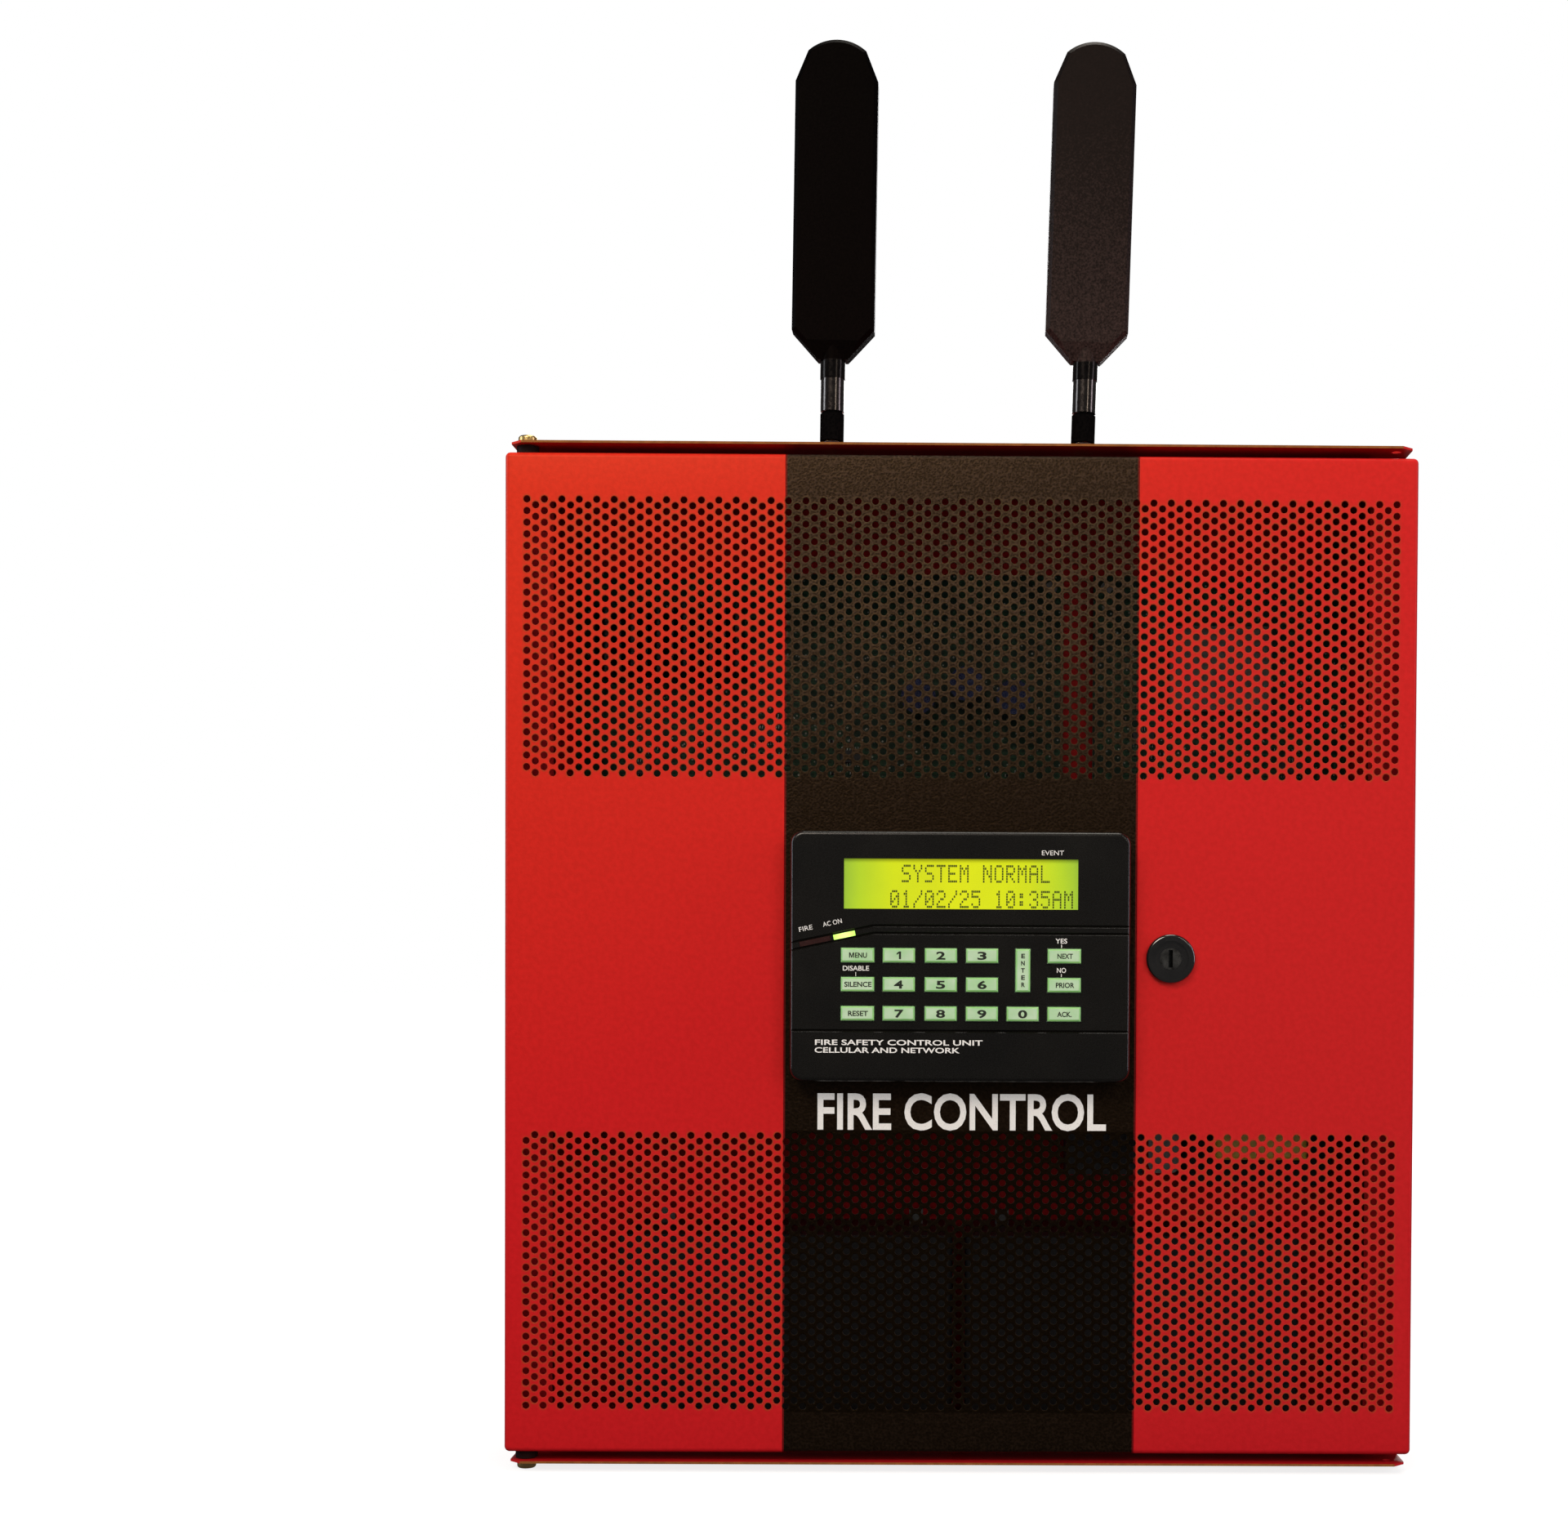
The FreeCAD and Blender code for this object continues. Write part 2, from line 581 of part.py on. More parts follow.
def make_keypad_inside():
    """The window, display, key mat, circuit board, sounder, back plate and screws of the keypad."""
    node("lcd_window", box("window_lens", [WINDOW_LOW[0], f"{KEYPAD_FRONT} + 0.4", WINDOW_LOW[1]],
                           ["window_width", "1.4", "window_height"]))
    board_y = f"{MEMBRANE_Y} + 1.2"
    node("lcd_module", box("display_block", [f"{WINDOW_LOW[0]} - 2", f"{KEYPAD_FRONT} + keypad_wall + 0.2",
                                             f"{WINDOW_LOW[1]} - 3"],
                           ["window_width + 4", f"({board_y}) - ({KEYPAD_FRONT} + keypad_wall + 0.2)",
                            "window_height + 6"]))
    node("key_membrane", box("mat", [-56, MEMBRANE_Y, -33], [112, 1.2, 40]))
    board = box("keypad_board_blank", [-68, board_y, "keypad_centre_z - 50"], [136, "board_thickness", 100])
    screws, plate_holes, board_holes = [], [], []
    for i, (x, z) in enumerate(keypad_screw_places()):
        board_holes.append(cylinder(f"keypad_board_hole_{i}", [x, f"{board_y} - 1", z], 4, 4))
        plate_holes.append(cylinder(f"plate_hole_{i}", [x, "-cabinet_depth - plate_thickness - 1", z],
                                    "screw_radius + 0.3", "plate_thickness + 2"))
        head = cylinder(f"keypad_screw_head_{i}", [x, "-cabinet_depth - plate_thickness - 1.6", z], 3, 1.6)
        shank = cylinder(f"keypad_screw_shank_{i}", [x, "-cabinet_depth - plate_thickness - 1.6", z],
                         "screw_radius", 10)
        screws.append(fuse(f"keypad_screw_{i}", [head, shank]))
    node("keypad_circuit_board", cut("keypad_board", board, board_holes))
    sounder_y = f"{board_y} + board_thickness"
    node("keypad_sounder", cylinder("sounder_can", [0, sounder_y, 36], 6, 3))
    plate = box("plate_blank", ["-keypad_width/2 + keypad_wall + 0.2", "-cabinet_depth - plate_thickness",
                                "keypad_centre_z - keypad_height/2 + keypad_wall + 0.2"],
                ["keypad_width - 2*keypad_wall - 0.4", "plate_thickness",
                 "keypad_height - 2*keypad_wall - 0.4"])
    wiring = box("plate_cutout", [-28, "-cabinet_depth - plate_thickness - 1", "keypad_centre_z - 18"],
                 [56, "plate_thickness + 2", 36])
    node("keypad_back_plate", cut("plate", plate, plate_holes + [wiring]))
    node("keypad_screws", together("keypad_screw_set", screws))
    for name in LIGHTS:
        node(f"{name}_light_pipe", light_bar(f"{name}_light", name, 0))


# ---------------------------------------------------------------- lock
LOCK_FACE = "-cabinet_depth - bezel_height"
CAM_Y = "-cabinet_depth + cam_setback"


def lock_cylinder(name, y, radius, length):
    return cylinder(name, ["lock_x", y, "lock_z"], radius, length)


def make_lock():
    """A cam lock: a bezel and barrel through the door, its nut, and the turning plug with a long cam."""
    bezel = lock_cylinder("bezel_disc", LOCK_FACE, "bezel_radius", "bezel_height")
    face = -size("cabinet_depth") - size("bezel_height")
    bezel = rounded("bezel_round", bezel, 1.3, lambda e: near(middle(e).y, face))
    barrel = lock_cylinder("barrel", "-cabinet_depth", "barrel_radius", "barrel_length")
    body = fuse("lock_body_solid", [bezel, barrel])
    recess = lock_cylinder("bezel_recess_space", f"{LOCK_FACE} - 1", "bezel_recess_radius",
                           "bezel_recess + 1")
    bore = lock_cylinder("plug_bore", f"{LOCK_FACE} - 1", "plug_radius + running_clearance", 40)
    node("lock_housing", cut("lock_housing_cut", body, [fuse("lock_space", [recess, bore])]))

    nut = doc.addObject("Part::Prism", "nut_hexagon")
    nut.Polygon = 6
    bind(nut, Circumradius="barrel_radius + 4", Height=3)
    place(nut, ["lock_x", "-cabinet_depth + door_sheet", "lock_z"], ALONG["+Y"])
    node("lock_nut", cut("nut", nut, [lock_cylinder("nut_bore", "-cabinet_depth", "barrel_radius", 10)]))

    plug = lock_cylinder("plug_cylinder", f"{LOCK_FACE} + bezel_recess", "plug_radius",
                         "bezel_height - bezel_recess + barrel_length + 0.5")
    tail = lock_cylinder("plug_tail", "-cabinet_depth", 3.6, "cam_setback + cam_thickness")
    keyway = box("keyway", ["lock_x - keyway_width/2", f"{LOCK_FACE} - 1", "lock_z - keyway_height/2"],
                 ["keyway_width", 16, "keyway_height"])
    node("lock_plug", cut("plug", fuse("plug_solid", [plug, tail]), [keyway]))

    arm = box("cam_arm", ["lock_x - cam_width/2", CAM_Y, "lock_z - cam_length"],
              ["cam_width", "cam_thickness", "cam_length"])
    hub = lock_cylinder("cam_hub", CAM_Y, "cam_width/2", "cam_thickness")
    blank = fuse("cam_blank", [arm, hub])
    blank = rounded("cam_tip", blank, 4.0, lambda e: runs_along(e, "y") and middle(e).z < -80)
    node("lock_cam", cut("cam", blank, [lock_cylinder("cam_hole", f"{CAM_Y} - 1", 3.6, 4)]))
    node("lock_cam_screw", lock_cylinder("cam_screw_head", f"{CAM_Y} + cam_thickness", 5.2, 2.2))


# ---------------------------------------------------------------- antennas
LEAN_PIVOT = 13.0  # height above the top wall where the leaning axis crosses the connector's


def antenna_cylinder(side, name, start, radius, height):
    """A cylinder on the antenna's own axis, its start measured up from the cabinet's top."""
    return cylinder(f"{side}_{name}", [0, 0, start], radius, height, "+Z")


def lean(obj, side):
    """Stands a shape built about the Z axis on the cabinet's top, leaning to the right."""
    angle = size(f"antenna_{side}_lean")
    turn = Rotation(Vector(0, 1, 0), angle)
    shift = turn.multVec(Vector(0, 0, -LEAN_PIVOT))
    return place(obj, [f"antenna_{side}_x + {shift.x}", ANTENNA_Y,
                       f"cabinet_height/2 + {LEAN_PIVOT} + {shift.z}"], turn)


def blade_body(side, base):
    """The flat paddle: a foot that widens from the neck and slopes back towards it on both faces,
    straight sides, shoulders and a shallow crown."""
    half = size("blade_width") / 2
    foot = base + size("blade_foot")
    shoulder = foot + size("blade_straight")
    top = shoulder + size("blade_shoulder")
    crown = top + size("blade_crown")
    neck, tip = size("neck_radius") + 1.0, size("blade_top_half_width")
    body = new_body(f"{side}_blade_body", [0, "blade_thickness/2", 0])
    outline = sketch_on(body, "XZ_Plane", f"{side}_blade_outline")
    points = [(-neck, base), (neck, base), (half, foot), (half, shoulder), (tip, top)]
    for (x0, z0), (x1, z1) in zip(points, points[1:]):
        outline.addGeometry(Part.LineSegment(Vector(x0, z0, 0), Vector(x1, z1, 0)), False)
    outline.addGeometry(Part.Arc(Vector(tip, top, 0), Vector(0, crown, 0), Vector(-tip, top, 0)), False)
    points = [(-tip, top), (-half, shoulder), (-half, foot), (-neck, base)]
    for (x0, z0), (x1, z1) in zip(points, points[1:]):
        outline.addGeometry(Part.LineSegment(Vector(x0, z0, 0), Vector(x1, z1, 0)), False)
    slab = pad(body, outline, f"{side}_blade_slab", "blade_thickness")
    doc.recompute()
    flats = [i for i, f in enumerate(slab.Shape.Faces, 1) if f.Surface.TypeId == "Part::GeomPlane"
             and near(abs(f.normalAt(0, 0).y), 1)]
    bevel = body.newObject("PartDesign::Chamfer", f"{side}_blade_bevel")
    bevel.Base = (slab, [f"Face{i}" for i in flats])
    bind(bevel, Size="blade_bevel")
    body.Tip = bevel
    edge, slope = size("blade_foot_edge"), size("blade_foot_slope")
    turn = Rotation(Vector(1, 0, 0), 180 + math.degrees(math.atan2(slope, edge)))
    reach = ["blade_width + 2", "blade_thickness", "2*blade_foot"]
    front = box(f"{side}_foot_front", ["-blade_width/2 - 1", "-blade_thickness/2", base + edge], reach, turn)
    back = box(f"{side}_foot_back", ["blade_width/2 + 1", "blade_thickness/2", base + edge], reach,
               Rotation(Vector(0, 0, 1), 180) * turn)
    return cut(f"{side}_blade_trimmed", body, [front, back])


def make_antennas():
    """Two bulkhead connectors through the top wall, each with a screwed coupling sleeve and a paddle."""
    connectors, nuts = [], []
    for side in ("left", "right"):
        x = f"antenna_{side}_x"
        thread = cylinder(f"{side}_thread", [x, ANTENNA_Y, "cabinet_height/2 - thread_length"],
                          "thread_radius", "2*thread_length", "+Z")
        flange = cylinder(f"{side}_connector_flange",
                          [x, ANTENNA_Y, "cabinet_height/2 - wall - connector_flange_height"],
                          "connector_flange_radius", "connector_flange_height", "+Z")
        connectors.append(fuse(f"{side}_connector", [thread, flange]))
        nut = cylinder(f"{side}_nut", [x, ANTENNA_Y, "cabinet_height/2"], "antenna_nut_radius",
                       "antenna_nut_height", "+Z")
        nuts.append(cut(f"{side}_nut_ring", nut, [cylinder(f"{side}_nut_bore", [
            x, ANTENNA_Y, "cabinet_height/2 - 1"], "thread_radius", "antenna_nut_height + 2", "+Z")]))

        sleeve_top = "sleeve_start + sleeve_height"
        sleeve = antenna_cylinder(side, "sleeve_solid", "sleeve_start", "sleeve_radius", "sleeve_height")
        cavity = antenna_cylinder(side, "sleeve_cavity", "sleeve_start - 1", "sleeve_bore",
                                  "sleeve_height - 1.6")
        neck_bore = antenna_cylinder(side, "sleeve_neck_bore", "sleeve_start",
                                     "spindle_radius + running_clearance", "sleeve_height + 1")
        hollow = cut(f"{side}_sleeve", sleeve, [fuse(f"{side}_sleeve_space", [cavity, neck_bore])])
        node(f"antenna_{side}_sleeve", lean(hollow, side))

        spindle = antenna_cylinder(side, "spindle", f"{sleeve_top} - 4.2", "spindle_radius", 4.6)
        collar = antenna_cylinder(side, "groove_collar", f"{sleeve_top} + 0.35", "groove_radius",
                                  "groove_height - 0.35")
        upper = antenna_cylinder(side, "upper_sleeve", f"{sleeve_top} + groove_height", "sleeve_radius",
                                 "upper_sleeve_height")
        neck = antenna_cylinder(side, "neck", f"{sleeve_top} + groove_height + upper_sleeve_height",
                                "neck_radius", "neck_height + blade_foot/2")
        base = sum(size(a) for a in ("sleeve_start", "sleeve_height", "groove_height",
                                     "upper_sleeve_height", "neck_height"))
        solid = fuse(f"{side}_paddle_solid", [spindle, collar, upper, neck, blade_body(side, base)])
        node(f"antenna_{side}_paddle", lean(solid, side))
    node("antenna_connectors", together("connector_pair", connectors))
    node("antenna_nuts", together("antenna_nut_pair", nuts))


# ---------------------------------------------------------------- boards and power inside the cabinet
BOARD_Y = "-wall - standoff_height - board_thickness"
MAIN_BOARD = {"x": -182, "z": -60, "width": 230, "height": 240}
COMM_BOARD = {"x": 62, "z": 20, "width": 120, "height": 160}
BOARD_HOLE_INSET = 6


def board_hole_places(board):
    """The screw places of one board: its four corners, and the middles of a tall board's sides."""
    xs = (board["x"] + BOARD_HOLE_INSET, board["x"] + board["width"] - BOARD_HOLE_INSET)
    zs = [board["z"] + BOARD_HOLE_INSET, board["z"] + board["height"] - BOARD_HOLE_INSET]
    if board["height"] > 200:
        zs.append(board["z"] + board["height"] / 2)
    return [(x, z) for x in xs for z in zs]


def circuit_board(name, board):
    """A drilled circuit board, modelled in the cabinet's frame."""
    body = new_body(f"{name}_body", [board["x"] + board["width"] / 2, "-wall - standoff_height",
                                     board["z"] + board["height"] / 2])
    outline = sketch_on(body, "XZ_Plane", f"{name}_outline")
    rectangle(outline, board["width"], board["height"])
    pad(body, outline, f"{name}_slab", "board_thickness")
    holes = [cylinder(f"{name}_hole_{i}", [x, f"{BOARD_Y} - 1", z], "screw_radius + 0.1", 4)
             for i, (x, z) in enumerate(board_hole_places(board))]
    return node(name, cut(f"{name}_drilled", body, holes))


def on_board(name, x, z, width, height, rise):
    """A block that stands on a board's front face."""
    return box(name, [x, f"{BOARD_Y} - {rise}", z], [width, rise, height])


def make_boards():
    circuit_board("main_circuit_board", MAIN_BOARD)
    circuit_board("communicator_board", COMM_BOARD)
    standoffs, screws = [], []
    for i, (x, z) in enumerate(board_hole_places(MAIN_BOARD) + board_hole_places(COMM_BOARD)):
        post = cylinder(f"standoff_post_{i}", [x, "-wall - standoff_height", z], "standoff_radius",
                        "standoff_height")
        bore = cylinder(f"standoff_bore_{i}", [x, "-wall - standoff_height - 1", z], "screw_radius", 8)
        standoffs.append(cut(f"standoff_{i}", post, [bore]))
        head = cylinder(f"board_screw_head_{i}", [x, f"{BOARD_Y} - 1.8", z], 2.8, 1.8)
        shank = cylinder(f"board_screw_shank_{i}", [x, f"{BOARD_Y} - 1.8", z], "screw_radius", 8)
        screws.append(fuse(f"board_screw_{i}", [head, shank]))
    node("board_standoffs", together("standoff_set", standoffs))
    node("board_screws", together("board_screw_set", screws))
    node("field_terminal_blocks", together("terminal_block_set", [terminal_block(i) for i in range(4)]))
    relays = [on_board(f"relay_{i}", -168 + 24 * i, -14, 19, 16, 15.5) for i in range(5)]
    node("board_relays", together("relay_set", relays))
    cans = [cylinder(f"capacitor_{i}", [-20 + 22 * i, f"{BOARD_Y} - 25", 120 + 6 * (i % 2)], 8, 25)
            for i in range(3)]
    node("board_capacitors", together("capacitor_set", cans))
    fins = [on_board(f"heat_sink_fin_{i}", -170 + 6 * i, 130, 1.5, 32, 30) for i in range(12)]
    base = on_board("heat_sink_base", -170, 130, 67.5, 32, 5)
    node("regulator_heat_sink", fuse("heat_sink", fins + [base]))
    node("cellular_module", on_board("module_can", 98, 116, 48, 40, 5.5))


def terminal_block(i):
    """An eight-way screw terminal block with its wire mouths facing down."""
    ways, pitch = 8, 5.2
    x = -164 + 50 * i
    block = on_board(f"terminal_block_{i}", x, -57, ways * pitch, 11, 13)
    mouths = [box(f"terminal_mouth_{i}_{way}", [x + pitch * way + 1, f"{BOARD_Y} - 6", -58],
                  [pitch - 2, 4, 8]) for way in range(ways)]
    screws = [cylinder(f"terminal_screw_hole_{i}_{way}", [x + pitch * (way + 0.5), f"{BOARD_Y} - 14", -52],
                       1.7, 2.5) for way in range(ways)]
    return cut(f"terminal_block_{i}_cut", block, mouths + screws)


def make_power():
    """Mains transformer and terminals, the earth stud, and two batteries on the cabinet's floor."""
    core = box("core_stack", [104, "-wall - 52", -104], [66, 52, 40])
    foot = box("core_foot", [94, "-wall - 1.6", -94], [86, 1.6, 20])
    window = box("core_window", [116, "-wall - 60", -92], [42, 70, 16])
    node("transformer_core", cut("transformer_core_cut", fuse("core_solid", [core, foot]), [window]))
    coil = box("coil_block", [116, "-wall - 60", -92], [42, 50, 16])
    node("transformer_winding", rounded("coil_round", coil, 2.0,
                                        lambda e: near(middle(e).y, -size("wall") - 60)))
    node("mains_terminal_block", box("mains_block", [54, "-wall - 16", -98], [28, 16, 34]))
    cover = box("mains_cover_outer", [50, "-wall - 24", -102], [36, 24, 42])
    hollow = box("mains_cover_inner", [51.5, "-wall - 22.5", -104], [33, 24, 42.5])
    node("mains_cover", cut("mains_cover_cut", cover, [hollow]))
    stud = cylinder("stud_rod", [-172, "-wall - 16", -96], 3, 16)
    nut = doc.addObject("Part::Prism", "stud_nut")
    nut.Polygon = 6
    bind(nut, Circumradius=5.8, Height=5)
    place(nut, [-172, "-wall - 8", -96], ALONG["+Y"])
    node("ground_stud", fuse("stud", [stud, nut]))
    floor = "-cabinet_height/2 + wall"
    tabs = []
    for side, x in (("left", "-battery_width - battery_gap/2"), ("right", "battery_gap/2")):
        case = box(f"{side}_case", [x, "-wall - 1.5 - battery_depth", floor],
                   ["battery_width", "battery_depth", "battery_height"])
        case = rounded(f"{side}_case_round", case, 2.0, lambda e: runs_along(e, "z"))
        node(f"battery_{side}", case)
        for pole, shift in (("minus", "14"), ("plus", "battery_width - 20.4")):
            tabs.append(box(f"{side}_{pole}_tab",
                            [f"{x} + {shift}", "-wall - 20", f"{floor} + battery_height"],
                            [6.4, 0.8, 7]))
    node("battery_terminals", together("terminal_tabs", tabs))


# ---------------------------------------------------------------- build, check and export
make_cabinet()
make_hinge()
make_door()
make_keypad_front()
make_keypad_inside()
for key in KEYS:
    make_key(*key)
make_lock()
make_antennas()
make_boards()
make_power()
doc.recompute()

failed = [obj.Name for obj in doc.Objects if {"Invalid", "Error"} & set(obj.State)]
if failed:
    raise RuntimeError(f"objects that failed to compute: {failed}")
os.makedirs("parts", exist_ok=True)
for part in NODES:
    if part.Shape.isNull() or not part.Shape.isValid() or not part.Shape.Solids:
        raise RuntimeError(f"{part.Label} has no valid solid")
for part in NODES:
    part.Shape.exportStep(f"parts/{part.Label}.step")
    print(f"{part.Label}: {len(part.Shape.Solids)} solid(s), {part.Shape.Volume / 1000:.2f} cm3")
print(f"{len(NODES)} nodes")
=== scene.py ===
import json
import math
import random

import bmesh
import bpy
from mathutils import Matrix, Vector


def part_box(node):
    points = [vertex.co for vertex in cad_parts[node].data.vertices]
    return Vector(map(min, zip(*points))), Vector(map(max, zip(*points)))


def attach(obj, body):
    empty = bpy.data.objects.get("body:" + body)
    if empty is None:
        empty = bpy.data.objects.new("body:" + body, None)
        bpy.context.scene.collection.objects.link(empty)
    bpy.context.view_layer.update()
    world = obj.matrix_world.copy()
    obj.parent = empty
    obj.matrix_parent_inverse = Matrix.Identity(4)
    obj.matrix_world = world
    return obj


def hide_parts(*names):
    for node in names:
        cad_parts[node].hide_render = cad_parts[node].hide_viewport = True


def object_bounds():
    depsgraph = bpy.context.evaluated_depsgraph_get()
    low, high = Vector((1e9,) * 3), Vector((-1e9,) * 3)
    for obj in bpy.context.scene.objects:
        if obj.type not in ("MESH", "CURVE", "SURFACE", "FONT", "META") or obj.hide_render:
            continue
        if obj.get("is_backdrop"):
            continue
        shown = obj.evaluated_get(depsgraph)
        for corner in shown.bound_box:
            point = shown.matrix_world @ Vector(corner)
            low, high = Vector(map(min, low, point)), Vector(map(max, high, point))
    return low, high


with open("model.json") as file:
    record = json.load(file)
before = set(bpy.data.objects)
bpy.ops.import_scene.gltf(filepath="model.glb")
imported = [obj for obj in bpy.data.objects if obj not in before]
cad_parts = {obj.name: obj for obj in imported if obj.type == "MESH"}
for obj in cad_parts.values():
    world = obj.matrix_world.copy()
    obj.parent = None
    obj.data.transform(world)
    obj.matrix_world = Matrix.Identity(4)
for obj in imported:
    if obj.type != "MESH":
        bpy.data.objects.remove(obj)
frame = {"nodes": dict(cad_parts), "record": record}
CAD_LOW, CAD_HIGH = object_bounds()
NODES = frame["nodes"]
MM = 0.001
CABINET_LOW, CABINET_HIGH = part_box("enclosure_box")
WALL = 1.0 * MM
DOOR_LOW, DOOR_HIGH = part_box("door_panel")
DOOR_FRONT = DOOR_LOW.y
KEYPAD_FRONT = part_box("keypad_front_housing")[0].y


# -------- material helpers
class Look:
    """A procedural material under construction. Patterns are in the part's own frame, in metres."""

    def __init__(self, name, **shader):
        self.material = bpy.data.materials.new("look_" + name)
        self.material.use_nodes = True
        self.tree = self.material.node_tree
        self.shader = self.tree.nodes["Principled BSDF"]
        self.place = self.node("ShaderNodeTexCoord").outputs["Object"]
        self.set(**shader)

    def set(self, **shader):
        for socket, value in shader.items():
            self.feed(self.shader.inputs[socket.replace("_", " ")], value)
        return self

    def feed(self, socket, value):
        if isinstance(value, bpy.types.NodeSocket):
            self.tree.links.new(value, socket)
        elif socket.type == "RGBA" and len(value) == 3:
            socket.default_value = (*value, 1.0)
        else:
            socket.default_value = value

    def node(self, kind, inputs=None, **settings):
        made = self.tree.nodes.new(kind)
        for name, value in settings.items():
            setattr(made, name, value)
        for name, value in (inputs or {}).items():
            self.feed(made.inputs[name], value)
        return made

    def noise(self, size, detail=2.0, stretch=None):
        """Noise whose blobs are about `size` metres across."""
        place = self.place
        if stretch:
            place = self.node("ShaderNodeMapping", {"Vector": place, "Scale": stretch}).outputs["Vector"]
        made = self.node("ShaderNodeTexNoise", {"Vector": place, "Scale": 1 / size, "Detail": detail})
        return made.outputs["Fac"]

    def cells(self, size, feature="F1"):
        """Distance to the middle of cells that are about `size` metres across."""
        return self.node("ShaderNodeTexVoronoi", {"Vector": self.place, "Scale": 1 / size},
                         feature=feature).outputs["Distance"]

    def math(self, operation, a, b=0.0):
        made = self.node("ShaderNodeMath", {0: a, 1: b}, operation=operation)
        return made.outputs[0]

    def span(self, value, low, high, to_low=0.0, to_high=1.0):
        made = self.node("ShaderNodeMapRange", {"Value": value, "From Min": low, "From Max": high,
                                                "To Min": to_low, "To Max": to_high})
        return made.outputs["Result"]

    def ramp(self, value, stops, interpolation="LINEAR"):
        """Stops are pairs of a place and a colour. A plain number is a grey."""
        made = self.node("ShaderNodeValToRGB", {"Fac": value})
        ramp = made.color_ramp
        ramp.interpolation = interpolation
        while len(ramp.elements) < len(stops):
            ramp.elements.new(1.0)
        for element, (at, colour) in zip(ramp.elements, stops):
            element.position = at
            element.color = (*colour, 1.0) if isinstance(colour, tuple) else (colour, colour, colour, 1.0)
        return made.outputs["Color"]

    def mix(self, factor, a, b, blend="MIX"):
        made = self.node("ShaderNodeMix", data_type="RGBA", blend_type=blend)
        colours = [s for s in made.inputs if s.type == "RGBA"]
        self.feed(made.inputs["Factor"], factor)
        self.feed(colours[0], a)
        self.feed(colours[1], b)
        return [s for s in made.outputs if s.type == "RGBA"][0]

    def axis(self, name):
        return self.node("ShaderNodeSeparateXYZ", {"Vector": self.place}).outputs[name]

    def bump(self, height, distance, strength=1.0, normal=None):
        inputs = {"Height": height, "Distance": distance, "Strength": strength}
        if normal is not None:
            inputs["Normal"] = normal
        made = self.node("ShaderNodeBump", inputs)
        return made.outputs["Normal"]


def varied(look, base, darker, lighter, size, detail=3.0):
    """The base colour with slow drifts towards a darker and a lighter one."""
    return look.ramp(look.noise(size, detail), [(0.30, darker), (0.5, base), (0.70, lighter)])


def scaled(colour, factor):
    return tuple(c * factor for c in colour)


def plain_look(name, colour, roughness, grain=0.6 * MM, grain_depth=0.02 * MM, **shader):
    """A surface with a slow drift of colour, fine grain in the surface and grain in its roughness."""
    look = Look(name, **shader)
    look.set(Base_Color=varied(look, colour, scaled(colour, 0.88), scaled(colour, 1.12), 22 * MM))
    fine = look.noise(grain)
    look.set(Roughness=look.span(fine, 0.3, 0.7, roughness * 0.85, min(1.0, roughness * 1.15)))
    look.set(Normal=look.bump(fine, grain_depth, 0.6))
    return look.material


# -------- materials
RED = (0.52, 0.0085, 0.0125)
# painted light for the red coat: lighter and warmer for its top left, painted shade for its bottom right
RED_PAINTED_LIGHT = (0.60, 0.022, 0.009)
RED_PAINTED_SHADE = (0.45, 0.0075, 0.0135)
RED_SHADE = (0.10, 0.0015, 0.004)
# painted shade for the inside of the box
INSIDE_SHADE_RED = (0.28, 0.0040, 0.0090)
STRIPE_BLACK = (0.0125, 0.0076, 0.0054)
# a painted brownish highlight for the cut front edges
CUT_EDGE_HIGHLIGHT = (0.24, 0.085, 0.022)
WARM_GLOSS = (1.0, 0.62, 0.30)
STRIPE_HALF_WIDTH = 75.5 * MM
# painted sheen, strongest at the top: how light the black coat is from the door's foot (0) to its head (1),
# as shares of its lightest; the second list is for the punched fields
STRIPE_SHINE = [(0.0, 0.16), (0.45, 0.13), (0.64, 0.20), (0.85, 0.50), (1.0, 0.68)]
FIELD_SHINE = [(0.04, 0.03), (0.33, 0.01), (0.67, 0.22), (0.85, 0.85), (0.97, 0.78)]
COAT_EDGE = 0.9 * MM


def red_colour(look):
    """Red powder coat with painted light: warmer and lighter towards the top left, painted shade towards the
    bottom right, and a faint mottle.
    """
    lean = look.math("ADD", look.math("MULTIPLY", look.axis("Z"), 1.6),
                     look.math("MULTIPLY", look.axis("X"), -1.1))
    # painted light: the red is lighter and warmer up and to the left, darker down and to the right
    painted_light_drift = look.ramp(look.span(lean, -0.5, 0.55), [(0.0, RED_PAINTED_SHADE), (0.55, RED), (1.0, RED_PAINTED_LIGHT)])
    mottle = look.ramp(look.noise(2.2 * MM, 3.0), [(0.35, (0.90, 0.86, 0.86)), (0.65, 1.0)])
    return look.mix(1.0, painted_light_drift, mottle, "MULTIPLY")


